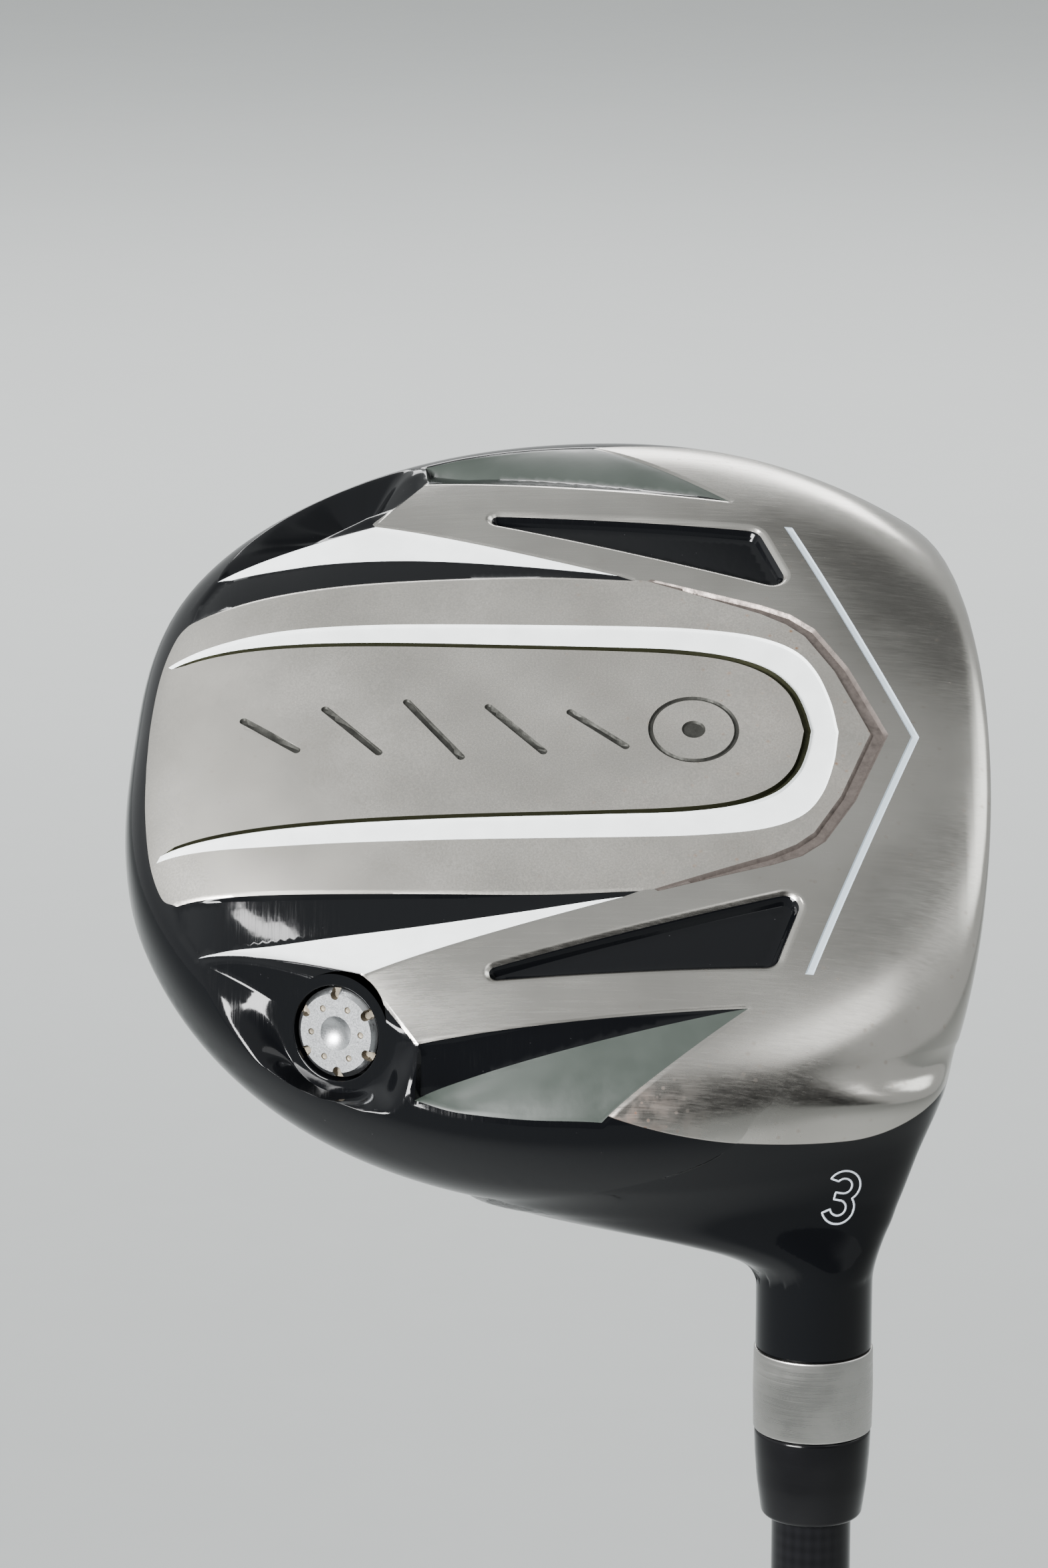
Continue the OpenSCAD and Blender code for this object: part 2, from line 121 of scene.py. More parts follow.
# Depths of the relief
VALLEY_DEPTH = 1.3
SCOOP_DEPTH = 2
POCKET_DEPTH, POCKET_LIP, POCKET_EASE = 1.4, 0.4, 0.8
CHANNEL_DEPTH = 0.3
LINE_DEPTH = 0.6
GROOVE_DEPTH = 0.5
CHEVRON_DEPTH = 0.12
ENGRAVING_DEPTH = 0.25
LIP = 0.14

# Edge of the black paint on the heel: y and height along the shaft of its peak, its bends, and its foot
PAINT_PEAK = (3, 19.9)
PAINT_BEND = (0.0068, 0.033)
PAINT_FOOT = -5.0

# Distance from the ground along the shaft, and reach to the front, the back and the crown side
NECK_ROWS = [(0, 16.5, 8, 10), (10, 15.3, 8, 10), (14.7, 14.1, 9, 10), (18.5, 12.7, 20, 10),
             (22, 11.5, 32, 10), (27, 9.7, 34, 9.5), (29, 8.9, 30, 9), (30.7, 8.3, 24, 8.6),
             (32, 7.7, 17.5, 8.2), (33.2, 7.2, 12, 7.6), (34.6, 6.7, 8, 6.9), (36, 6.35, 6.4, 6.4),
             (37.5, 6.25, 6.25, 6.25), (50, 6.25, 6.25, 6.25)]
NECK_BLEND = 3.2
HOSEL_TOP = 44.5
NECK_END = 41.5
NECK_ROOT = 15
# Top of the hosel: share of its radius, and distance from the ground
HOSEL_RIM = [(1, 43), (1, HOSEL_TOP - 0.25), ((HOSEL_R - 0.2) / HOSEL_R, HOSEL_TOP)]

# Face insert: x, height from the middle along the face, and radius of its corners; score lines
FACE_CORNERS = [(27, 6, 7), (27, -4, 6), (-18, -1, 5), (-20, 7, 5)]
FACE_PROUD, FACE_EDGE, FACE_LIP, FACE_BED = 0.06, 0.07, 0.4, 1.0
SCORE_HEIGHTS = [FACE_MID[1] - 6 + 2.7 * i for i in range(7)]
SCORE_LENGTH, SCORE_W, SCORE_DEPTH = 36, 0.8, 0.35

# Corner facets and the weight port
FACET_MIDDLE, FACET_REACH = (39, -53), (5, 6)
FACET_ROWS = 26
FLARE_SLOPE = 1.2
WALL_W, WALL_SWEEPS = 1.5, 24
BEVEL_W = 0.45
TOE_DISH_R = 0.6
SEAT_R, THREAD_R, PORT_DEPTH, PORT_END = 5.15, 3.05, 3.2, 11

# Weight screw
SCREW_H = 2.6
SHANK_R, SHANK_END = 3, 10
CHAMFER = 0.55
NOTCHES = 6
NOTCH_W, NOTCH_IN, NOTCH_DEPTH = 1.0, 3.6, 0.8
DOT_RING, DOT_RADIUS, DOT_DEPTH = 2.98, 0.36, 0.16
DIMPLE_R, DIMPLE_DEPTH = 1.85, 0.62

# Numeral on the neck: place about the shaft, turn and line width
NUMERAL_AT = (2.5, 26.5)
NUMERAL_TURN = math.radians(-15)
NUMERAL_W = 0.22

# Grip: heights and radii from the cap, its mouth as radii and distances from the end, its pattern
GRIP_LENGTH = 268
GRIP_ROWS = [(0, 13.5), (8, 13.5), (86, 11.9), (186, 10.5), (258, 9.5), (264, 9.45)]
GRIP_MOUTH = [(9.35, 2), (9.1, 0.5), (8.6, 0), (7.9, 0)]
GRIP_BANDS = (75, 150)
GRIP_GIRTH = 72.0
LOZENGE = 3.4
CAP_H = 4

# Floor and camera, in the frame's metres
FLOOR_SIZE, FLOOR_Z = 60, -0.001
CAMERA_AT = (-0.0311, -0.5450, 1.2403)
CAMERA_PITCH = 76.5
CAMERA_LENS = 122.8

# Softboxes: what they are aimed at, direction from there, distance in metres, width, height and watts
HEAD_MIDDLE = (-0.02, 0, 1.06)
LAMPS = [(HEAD_MIDDLE, (-0.6, -0.75, 0.3), 1.3, 0.6, 0.5, 82),
         (HEAD_MIDDLE, (0.5, -0.5, 0.7), 1.3, 0.5, 0.4, 1.5),
         (HEAD_MIDDLE, (-0.42, -0.28, 0.86), 1.3, 0.2, 0.1, 3.5),
         ((0, 6.5, 0), (0, 0, 1), 4.5, 4, 4, 410)]
# Light tent: pale all round, with darker and brighter patches: direction, inner and outer angle, factor
TENT_COLOUR, TENT_STRENGTH = (0.93, 0.96, 0.96), 0.8
OPENINGS = [((0.1, -0.97, 0.2), 16, 34, 0.15), ((0.5, -0.86, 0.05), 8, 26, 0.1),
            ((0.38, -0.82, 0.42), 11, 22, 0.15), ((0.3, 0.42, 0.86), 7, 17, 0.25),
            ((0.7, 0.19, 0.68), 7, 20, 6), ((0.42, -0.08, 0.9), 4, 16, 0.55),
            ((-0.75, 0.15, 0.64), 6, 36, 1.8)]

SINE, COSINE = math.sin(LIE), math.cos(LIE)
HEEL_SHIFT = np.array([HEEL_OFFSET, 0, 0])
HEAD_CORE = np.array([*CENTRE, 17.0])
# Head directions to directions about the shaft: front, crown side, and up from the ground
TO_SHAFT = np.array([[0, SINE, -COSINE], [1, 0, 0], [0, COSINE, SINE]])
UPSIDE_DOWN = np.array([1, 1, -1])


# ---------------------------------------------------------------- places and directions
def shaft_places(points):
    """Head places to places about the shaft: front, crown side, and distance from the ground."""
    return (np.asarray(points, float) + HEEL_SHIFT) @ TO_SHAFT


def from_shaft(points):
    """Places about the shaft back to head places."""
    return np.asarray(points, float) @ TO_SHAFT.T - HEEL_SHIFT


def to_row(points):
    """Head places in millimetres to frame places in metres."""
    return (shaft_places(points) * UPSIDE_DOWN + [0, 0, CLUB_LENGTH]) * MM


def turn_to_row(directions):
    """Head directions to frame directions."""
    return directions @ TO_SHAFT * UPSIDE_DOWN


def unit(vectors):
    return vectors / np.maximum(np.linalg.norm(vectors, axis=-1, keepdims=True), 1e-12)


def smooth(t):
    t = np.clip(t, 0, 1)
    return t * t * (3 - 2 * t)


def spline(a, b, c, d, f):
    """Smooth curve from b, where f is 0, to c, where f is 1. a and d come before and after them."""
    return b + 0.5 * f * (c - a + f * (2 * a - 5 * b + 4 * c - d + f * (3 * (b - c) + d - a)))


def polar(reach, turn):
    return np.stack([reach * np.cos(np.radians(turn)), reach * np.sin(np.radians(turn))], -1)


def turn_of(places):
    return np.degrees(np.arctan2(places[:, 1], places[:, 0]))


def away_from_core(normals, places):
    """The same normals, turned to point out of the head."""
    inward = np.sum(normals * (places - HEAD_CORE), axis=1) < 0
    return np.where(inward[:, None], -normals, normals)


# ---------------------------------------------------------------- the head's skin
def around(values, turn):
    """Smooth curve through twelve values, at any turn about the head."""
    step = np.mod(turn, 360) / 30
    i = np.floor(step).astype(int)
    return spline(*(values[(i + k) % 12] for k in (11, 0, 1, 2)), step - i)


def soft_min(a, b, r):
    h = np.clip(0.5 + 0.5 * (b - a) / r, 0, 1)
    return b + (a - b) * h - r * h * (1 - h)


def face_y(x, z):
    bulge = ((x - FACE_MID[0]) ** 2 + (z - FACE_MID[1]) ** 2) / (2 * FACE_RADIUS)
    return FACE_FOOT - z * math.tan(LOFT) - bulge


def skin(turn, rise):
    """Place on the skin. rise is 0 at the sole's middle, 90 at the widest line, 180 on the crown."""
    turn, rise = np.broadcast_arrays(np.asarray(turn, float), np.asarray(rise, float))
    sine, cosine = np.sin(np.radians(rise)), np.cos(np.radians(rise))
    low = rise <= 90
    reach = around(RADII, turn) * np.maximum(sine, 0) ** np.where(low, 2 / SOLE_POWER, 2 / CROWN_POWER)
    x, y = np.moveaxis(CENTRE + polar(reach, turn), -1, 0)
    waist = around(WAISTS, turn)
    top = CROWN_HEIGHT + CROWN_TILT * (y - CENTRE[1])
    below = waist - waist * np.maximum(cosine, 0) ** (2 / SOLE_ROUND)
    above = waist + (top - waist) * np.maximum(-cosine, 0) ** (2 / CROWN_ROUND)
    z = np.where(low, below, above)
    return np.stack([x, soft_min(y, face_y(x, z), FACE_BLEND), z], -1)


class Half:
    """One half of the skin on a flat chart: the sole side or the crown side of the joint.

    The chart's radius follows the distance along a typical section, so that meshes are even.
    """

    def __init__(self, rises):
        section = skin(np.full(len(rises), SECTION_TURN), rises)
        steps = np.linalg.norm(np.diff(section, axis=0), axis=1)
        self.rises = rises
        self.shares = np.concatenate([[0], np.cumsum(steps)]) / SECTION_R
        self.rim = self.shares[-1]
        order = np.argsort(rises)
        self.back = (rises[order], self.shares[order])

    def chart(self, turn, rise):
        return polar(around(RADII, np.asarray(turn, float)) * np.interp(rise, *self.back), turn)

    def share(self, places):
        return np.hypot(places[:, 0], places[:, 1]) / around(RADII, turn_of(places))

    def angles(self, places):
        return turn_of(places), np.interp(self.share(places), self.shares, self.rises)

    def place(self, places):
        return skin(*self.angles(places))

    def normal(self, places, step=0.02):
        du = self.place(places + [step, 0]) - self.place(places - [step, 0])
        dv = self.place(places + [0, step]) - self.place(places - [0, step])
        return away_from_core(unit(np.cross(du, dv)), self.place(places))


SECTION_TURN, SECTION_R, SECTION_STEPS, SKIRT_STEPS = 270.0, 55.0, 400, 60
SOLE = Half(np.concatenate([np.degrees(np.arcsin(np.linspace(0, 1, SECTION_STEPS) ** 2)),
                            np.linspace(90, JOINT_RISE, SKIRT_STEPS)[1:]]))
joint_reach = math.sin(math.radians(JOINT_RISE)) ** (2 / CROWN_POWER)
CROWN = Half(180 - np.degrees(np.arcsin(np.linspace(0, joint_reach, SECTION_STEPS) ** (CROWN_POWER / 2))))
SKIRT_SPREAD = 0.3


def on_chart(line):
    """Places on the ground to the sole's chart."""
    d = np.asarray(line, float) - CENTRE
    share = np.minimum(SOLE.share(d), 1)
    return SOLE.chart(turn_of(d), np.degrees(np.arcsin(share ** 2)))


def chart_to_ground(places):
    """The sole's chart to places on the ground; the skirt above the widest line spreads outward."""
    turn, rise = SOLE.angles(places)
    reach = around(RADII, turn) * np.sqrt(np.sin(np.radians(np.minimum(rise, 90))))
    reach = np.where(rise > 90, around(RADII, turn) + SKIRT_SPREAD * (rise - 90), reach)
    return CENTRE + polar(reach, turn)


# ---------------------------------------------------------------- outlines
def sampled(line, step=0.35, closed=False):
    """The same line with a point at least every step, corners kept."""
    p = [np.asarray(q, float) for q in line]
    if closed:
        p.append(p[0])
    out = []
    for a, b in zip(p[:-1], p[1:]):
        n = max(1, math.ceil(np.linalg.norm(b - a) / step))
        out += [a + (b - a) * k / n for k in range(n)]
    return np.array(out if closed else out + [p[-1]])


def curved(line, step=0.35):
    """Smooth curve through the points, ends kept."""
    p = np.asarray(line, float)
    p = np.vstack([2 * p[0] - p[1], p, 2 * p[-1] - p[-2]])
    out = []
    for a, b, c, d in zip(p[:-3], p[1:-2], p[2:-1], p[3:]):
        n = max(1, math.ceil(np.linalg.norm(c - b) / step))
        out += [spline(a, b, c, d, k / n) for k in range(n)]
    return np.array(out + [p[-2]])


def mirrored(line):
    return np.asarray(line, float) * [-1, 1]


def folded_over(ground):
    """Places on the ground with the heel side brought onto the toe side."""
    return np.column_stack([np.abs(ground[:, 0]), ground[:, 1]])


def both(line):
    """A rail and its mirror image as one line, heel end first."""
    line = np.asarray(line, float)
    return np.vstack([mirrored(line), line[::-1][1:]])


def strip(outer, inner, through=curved):
    """Closed outline between two rails that both cross the middle."""
    return np.vstack([both(through(outer)), both(through(inner))[::-1]])


def rounded(corners, radii, step=0.3):
    """Closed outline with its corners rounded."""
    out = []
    n = len(corners)
    for i, r in enumerate(radii):
        before, corner, after = (np.asarray(corners[(i + k) % n], float) for k in (-1, 0, 1))
        a, b = unit(before - corner), unit(after - corner)
        half = 0.5 * math.acos(float(np.clip(a @ b, -1, 1)))
        centre = corner + unit(a + b) * r / math.sin(half)
        start = corner + a * r / math.tan(half) - centre
        sweep = math.pi - 2 * half
        sign = -1.0 if a[0] * b[1] - a[1] * b[0] > 0 else 1.0
        steps = max(4, math.ceil(r * sweep / step))
        for k in range(steps + 1):
            t = sign * sweep * k / steps
            c, s = math.cos(t), math.sin(t)
            out.append(centre + [start[0] * c - start[1] * s, start[0] * s + start[1] * c])
    return np.array(out)


def circle(centre, r, step=0.25):
    n = max(16, math.ceil(2 * math.pi * r / step))
    t = np.linspace(0, 2 * math.pi, n, endpoint=False)
    return np.column_stack([centre[0] + r * np.cos(t), centre[1] + r * np.sin(t)])


def bar_outline(a, b, width, steps=8):
    """Straight bar from a to b with round ends."""
    a, b = np.asarray(a, float), np.asarray(b, float)
    along = unit(b - a)
    across = np.array([-along[1], along[0]])
    out = []
    for centre, start in ((b, -90), (a, 90)):
        for k in range(steps + 1):
            t = math.radians(start + 180 * k / steps)
            out.append(centre + (along * math.cos(t) + across * math.sin(t)) * width / 2)
    return np.array(out)


def inside(points, outline):
    """Whether each point lies within the closed outline."""
    x, y = points[:, 0], points[:, 1]
    result = np.zeros(len(points), bool)
    for a, b in zip(outline, np.roll(outline, -1, axis=0)):
        crosses = (a[1] > y) != (b[1] > y)
        if crosses.any():
            at = a[0] + (y - a[1]) * (b[0] - a[0]) / (b[1] - a[1] + 1e-15)
            result ^= crosses & (x < at)
    return result


def inside_any(points, outlines):
    return np.any([inside(points, outline) for outline in outlines], axis=0)


def distance(points, line, closed=False):
    """Shortest distance from each point to a line."""
    ends = np.roll(line, -1, axis=0) if closed else line[1:]
    starts = line if closed else line[:-1]
    best = np.full(len(points), 1e9)
    for a, b in zip(starts, ends):
        d = b - a
        t = np.clip(((points - a) @ d) / max(d @ d, 1e-12), 0, 1)
        best = np.minimum(best, np.sum((points - a - t[:, None] * d) ** 2, axis=1))
    return np.sqrt(best)


def depth_in(points, outline, far=1e3):
    """Distance from the closed outline, positive inside and negative outside."""
    d = np.full(len(points), -far)
    low, high = outline.min(0) - 2, outline.max(0) + 2
    near = np.all((points > low) & (points < high), axis=1)
    if near.any():
        p = points[near]
        d[near] = distance(p, outline, closed=True) * np.where(inside(p, outline), 1, -1)
    return d


def sideways(line, closed):
    """Directions to the left of a line, at its points."""
    along = (np.roll(line, -1, 0) - np.roll(line, 1, 0)) if closed else np.gradient(line, axis=0)
    return unit(np.column_stack([-along[:, 1], along[:, 0]]))


def beside(line, offsets, closed):
    """Points beside a line at the given distances to its left, where nothing else is nearer."""
    left = sideways(line, closed)
    rows = [line + left * o for o in offsets]
    return np.vstack([p[distance(p, line, closed) > abs(o) * 0.97] for p, o in zip(rows, offsets)])


# ---------------------------------------------------------------- outlines of the sole's features
tongue_edge = curved(TONGUE_EDGE)
tongue_rear = curved(TONGUE_REAR)
flash_outer = sampled([FLASH_TIP, FLASH_CORNER])
flash_end = sampled([FLASH_CORNER, FLASH_REAR])
crease = curved(FLASH_FOLD)
back_of_flash = np.vstack([flash_end[::-1][1:], flash_outer[::-1][1:]])
valley = np.vstack([tongue_edge, sampled([VALLEY_REAR, FLASH_REAR]), back_of_flash])
white_flash = np.vstack([crease, back_of_flash[:-1]])
arm_end = sampled([FLASH_CORNER, ARM_END])
arm_side = sampled([ARM_END, SCOOP_TIP])
scoop_crease = sampled([SCOOP_TIP, SCOOP_REAR])
grey_side = curved([SCOOP_TIP, GREY_BEND, GREY_OUTER[0]])
grey_rear = curved(GREY_OUTER + [SCOOP_REAR])
grey_edge = np.vstack([grey_side, grey_rear[1:]])
scoop = np.vstack([arm_side[:-1], grey_edge, sampled([SCOOP_REAR, ARM_END])[1:-1]])
grey_flash = np.vstack([grey_edge, scoop_crease[::-1][1:-1]])
facet_rim = curved([ARM_END, FACET_BEND] + FACET_RIM + [FLASH_REAR])
facet = np.vstack([flash_end[::-1][:-1], arm_end, facet_rim[1:-1]])
pocket = sampled(rounded(POCKET, POCKET_ROUND), closed=True)
channel = strip(CHANNEL_OUTER, CHANNEL_INNER)
dark_line = strip(CHANNEL_INNER, LINE_INNER)
groove = strip(GROOVE_OUTER, GROOVE_INNER, sampled)
chevron_front = both(sampled(CHEVRON))
chevron = np.vstack([chevron_front, (chevron_front - [0, CHEVRON_W])[::-1]])

# Edges of the bare steel round the tongue, the arms and the front; it is closed far outside the head
around_tongue = np.vstack([tongue_rear[::-1][:-1], tongue_edge[::-1]])
steel_back = np.vstack([around_tongue, flash_outer, arm_end[1:], arm_side[1:], grey_side[1:]])
toe_steel = np.vstack([steel_back, curved([GREY_OUTER[0]] + STEEL_FRONT)[1:]])
heel_steel = mirrored(steel_back)
steel = np.vstack([toe_steel, STEEL_BEYOND, heel_steel[::-1]])
tongue_front = curved([TONGUE_EDGE[0], GROOVE_INNER[0]])[1:-1]
tongue = both(np.vstack([around_tongue, tongue_front, sampled(GROOVE_INNER)])[::-1])[::-1]

engraved = [bar_outline((x, y - BAR_RISE), (-x, y), BAR_W) for x, y in BARS]
engraved.append(circle(RING_AT, DOT_R))
ring_edges = [circle(RING_AT, RING_R), circle(RING_AT, RING_R - RING_W)]


def in_ring(ground):
    """Depth inside the engraved ring, between its two edges."""
    return np.minimum(depth_in(ground, ring_edges[0]), -depth_in(ground, ring_edges[1]))


# ---------------------------------------------------------------- relief of the sole
def run_back(p, tip, rear):
    """Share of the way back from a recess's tip to its rear end."""
    return np.clip((tip[1] - p[:, 1]) / (tip[1] - rear[1]), 0, 1)


def folded(p, depth, lines, rises):
    """Height of a recess that is deepest at its fold and rises towards its inner and outer edges."""
    lines = (np.asarray(line, float) for line in lines)
    edge, fold, outer = (np.interp(-p[:, 1], -line[:, 1], line[:, 0]) for line in lines)
    inward = np.clip((fold - p[:, 0]) / np.maximum(fold - edge, 0.05), 0, 1)
    outward = np.clip((p[:, 0] - fold) / np.maximum(outer - fold, 0.05), 0, 1)
    return -depth * (1 - rises[0] * inward - rises[1] * outward)


def flash_height(p):
    """Height in the valley between tongue and arm, below its edges."""
    run = run_back(p, FLASH_TIP, FLASH_REAR)
    depth = VALLEY_DEPTH * run ** 0.8 * (1 - 0.75 * smooth((run - 0.8) / 0.25))
    return folded(p, depth, (tongue_edge, crease, [FLASH_TIP, FLASH_CORNER, FLASH_REAR]), (0.3, 0.7))


def scoop_height(p):
    """Height in the scoop outside the arm."""
    run = run_back(p, SCOOP_TIP, SCOOP_REAR)
    depth = SCOOP_DEPTH * run * (1 - 0.5 * smooth((run - 0.85) / 0.2))
    outer = [SCOOP_TIP, GREY_BEND] + GREY_OUTER + [SCOOP_REAR]
    return folded(p, depth, ([SCOOP_TIP, ARM_END], [SCOOP_TIP, SCOOP_REAR], outer), (0.8, 0.9))


def heights(ground):
    """How far the relief stands below (negative) the smooth skin, at places on the ground."""
    p = folded_over(ground)
    h = np.zeros(len(p))
    for outline, floor_height in ((valley, flash_height), (scoop, scoop_height)):
        d = depth_in(p, outline)
        down = smooth(d / 0.35)
        h += np.minimum(floor_height(p), -LIP) * down - LIP * smooth(1 + d / 0.5) * (1 - down)
    d = depth_in(p, pocket)
    walls = POCKET_LIP + (POCKET_DEPTH - POCKET_LIP) * smooth(d / POCKET_EASE)
    h -= np.where(d > 0, walls, POCKET_LIP * np.clip(1 + d / POCKET_EASE, 0, 1) ** 2)
    for outline, depth, slope in ((channel, CHANNEL_DEPTH, 0.2), (dark_line, LINE_DEPTH, 0.2),
                                  (groove, GROOVE_DEPTH, 0.5), (chevron, CHEVRON_DEPTH, 0.12)):
        h -= depth * smooth(depth_in(p, outline) / slope)
    for d in [depth_in(ground, outline) for outline in engraved] + [in_ring(ground)]:
        h -= ENGRAVING_DEPTH * smooth(d / 0.2)
    return h


# ---------------------------------------------------------------- neck and hosel
neck_rows = curved(NECK_ROWS, 0.5)


def bands(rows, count, start=0):
    """Quads between neighbouring closed rings of points."""
    ring = [(start + j, start + (j + 1) % count) for j in range(count)]
    return [(a + i, b + i, b + i + count, a + i + count)
            for i in range(0, (rows - 1) * count, count) for a, b in ring]


def neck_field(s):
    """Roughly the distance outside the neck's flare, for places about the shaft."""
    front, back, crown = (np.interp(s[:, 2], neck_rows[:, 0], neck_rows[:, k]) for k in (1, 2, 3))
    a, b = (front + back) / 2, (crown + HOSEL_R) / 2
    x, y = (s[:, 0] - (front - back) / 2) / a, (s[:, 1] - (crown - HOSEL_R) / 2) / b
    r = np.maximum(np.hypot(x, y), 1e-6)
    return (r - 1) / np.maximum(np.hypot(x / (r * a), y / (r * b)), 1e-6)


def neck_distance(points, step=0.05):
    """Distance outside the neck (about), and its outward direction, for head places."""
    s = shaft_places(points)
    gradient = np.column_stack([neck_field(s + step * axis) - neck_field(s - step * axis)
                                for axis in np.eye(3)]) / (2 * step)
    outside = neck_field(s) / np.maximum(np.linalg.norm(gradient, axis=1), 0.3)
    below = NECK_ROOT - s[:, 2]
    h = np.clip(0.5 + 0.5 * (below - outside) / NECK_BLEND, 0, 1)
    value = outside + (below - outside) * h + NECK_BLEND * h * (1 - h)
    way = unit(gradient) * (1 - h)[:, None] + np.outer(h, [0, 0, -1])
    return value, unit(way @ TO_SHAFT.T)


def base_skin():
    """Smooth skin of the whole head, for finding distances from it: tree, places, faces, normals."""
    turns = np.arange(0, 360, 1.5)
    rises = np.concatenate([SOLE.rises[4::6], CROWN.rises[4::6][::-1]])
    grid = skin(turns[None, :], rises[:, None])
    verts = grid.reshape(-1, 3)
    faces = [t for a, b, c, d in bands(len(rises), len(turns)) for t in ((a, b, c), (a, c, d))]
    du = np.roll(grid, -1, 1) - np.roll(grid, 1, 1)
    dv = np.gradient(grid, axis=0)
    normals = away_from_core(unit(np.cross(du, dv)).reshape(-1, 3), verts)
    return BVHTree.FromPolygons(verts.tolist(), faces), verts, np.array(faces), normals


skin_tree, skin_verts, skin_faces, skin_normals = base_skin()


def skin_distance(points):
    """Distance outside the smooth skin, and the skin's smooth normal there."""
    found = [skin_tree.find_nearest(Vector(p)) for p in points]
    at = np.array([f[0] for f in found])
    corners = skin_faces[[f[2] for f in found]]
    a, b, c = (skin_verts[corners[:, k]] for k in range(3))
    v0, v1, v2 = b - a, c - a, at - a
    d00, d01, d11 = (np.sum(p * q, 1) for p, q in ((v0, v0), (v0, v1), (v1, v1)))
    d20, d21 = np.sum(v2 * v0, 1), np.sum(v2 * v1, 1)
    det = np.maximum(d00 * d11 - d01 * d01, 1e-12)
    v, w = (d11 * d20 - d01 * d21) / det, (d00 * d21 - d01 * d20) / det
    n = unit(sum(share[:, None] * skin_normals[corners[:, k]] for k, share in enumerate((1 - v - w, v, w))))
    offset = points - at
    return np.linalg.norm(offset, axis=1) * np.sign(np.sum(offset * n, 1)), n


def union_field(points):
    """Rounded union of skin and neck: distance outside it, and outward direction."""
    a, na = skin_distance(points)
    b, nb = neck_distance(points)
    h = np.clip(0.5 + 0.5 * (b - a) / NECK_BLEND, 0, 1)
    return soft_min(a, b, NECK_BLEND), unit(h[:, None] * na + (1 - h)[:, None] * nb)


def neck_loop(count=144, tries=360):
    """Closed line on the skin around the neck, just outside its blend, as turns and rises."""
    turns, rises = (v.ravel() for v in np.meshgrid(np.arange(120.0, 215), np.arange(90.0, 160)))
    s = shaft_places(skin(turns, rises))
    middle = np.argmin(np.hypot(s[:, 0], s[:, 1]))
    reach = np.arange(0.5, 60, 0.25)
    found = []
    for t in np.arange(tries) * 2 * math.pi / tries:
        ray = np.column_stack([turns[middle] + reach * math.cos(t),
                               rises[middle] + 1.6 * reach * math.sin(t)])
        ray = ray[(ray[:, 1] > 20) & (ray[:, 1] < 165)]
        gap = neck_distance(skin(*ray.T))[0] - NECK_BLEND - 0.1
        out = np.argmax(gap > 0)
        f = gap[out - 1] / (gap[out - 1] - gap[out])
        found.append(ray[out - 1] + f * (ray[out] - ray[out - 1]))
    closed = np.array(found + found[:1])
    along = np.concatenate([[0], np.cumsum(np.linalg.norm(np.diff(skin(*closed.T), axis=0), axis=1))])
    wanted = np.linspace(0, along[-1], count, endpoint=False)
    even = np.column_stack([np.interp(wanted, along, closed[:, k]) for k in range(2)])
    for i in range(count):
        pair = [i, (i + 1) % count]
        off = even[pair, 1] - JOINT_RISE
        if off[0] * off[1] < 0:
            even[pair[0] if abs(off[0]) < abs(off[1]) else pair[1], 1] = JOINT_RISE
    return even


loop = neck_loop()


def neck_patch(rows=44, sweeps=8):
    """Skin between the loop round the neck and the hosel's top: rings of places and normals."""
    start = skin(*loop.T)
    s = shaft_places(start)
    angle = np.unwrap(np.arctan2(s[:, 1], s[:, 0] - 2))
    n = len(loop)
    turn = np.sign(angle[-1] - angle[0])
    even = angle.mean() + turn * (np.arange(n) - (n - 1) / 2) * 2 * math.pi / n
    grid = np.zeros((rows + 1, n, 3))
    for i, f in enumerate(np.arange(rows + 1) / rows):
        a = angle + (even - angle) * f
        ring = np.column_stack([HOSEL_R * np.cos(a), HOSEL_R * np.sin(a), np.full(n, NECK_END)])
        grid[i] = start * (1 - f) + from_shaft(ring) * f
    for sweep in range(sweeps + 1):
        inner = grid[1:-1].reshape(-1, 3)
        for step in range(3):
            value, direction = union_field(inner)
            inner = inner - np.clip(value, -2, 2)[:, None] * direction
        grid[1:-1] = inner.reshape(rows - 1, n, 3)
        if sweep < sweeps:
            mean = (grid[:-2] + grid[2:] + np.roll(grid, 1, 1)[1:-1] + np.roll(grid, -1, 1)[1:-1]) / 4
            grid[1:-1] += 0.6 * (mean - grid[1:-1])
    normals = union_field(grid.reshape(-1, 3))[1].reshape(grid.shape)
    rim = [shaft_places(grid[-1]) * [k, k, 0] + [0, 0, t] for k, t in HOSEL_RIM]
    grid = np.concatenate([grid, [from_shaft(ring) for ring in rim]])
    return grid, np.concatenate([normals] + [normals[-1:]] * len(rim))


# ---------------------------------------------------------------- triangulating a flat chart
ROWS = {"pocket": (-0.8, -0.55, -0.3, 0.22, 0.44, 0.66, 0.9), "edge": (-0.5, -0.25, 0.18, 0.36),
        "fine": (0.1, 0.2), "line": (0.15,), "engraving": (0.18, -0.18)}
CHART_SIZE = 75


def distances_to(points):
    """A function that gives the distance from a place on a chart to the nearest of the points."""
    near = KDTree(len(points))
    for i, p in enumerate(points):
        near.insert((p[0], p[1], 0), i)
    near.balance()
    return lambda q: near.find((q[0], q[1], 0))[2]


def triangulated(points, edges):
    """Triangles over places on a chart, with the given edges among them."""
    verts, _, faces, *_ = delaunay_2d_cdt([Vector(p) for p in points], edges, [], 0, 1e-6, False)
    return np.array(verts), np.array(faces)


def chained(start, count, closed):
    """Edges from each of count points to the next."""
    edges = [(start + k, start + k + 1) for k in range(count - 1)]
    return edges + [(start + count - 1, start)] * closed


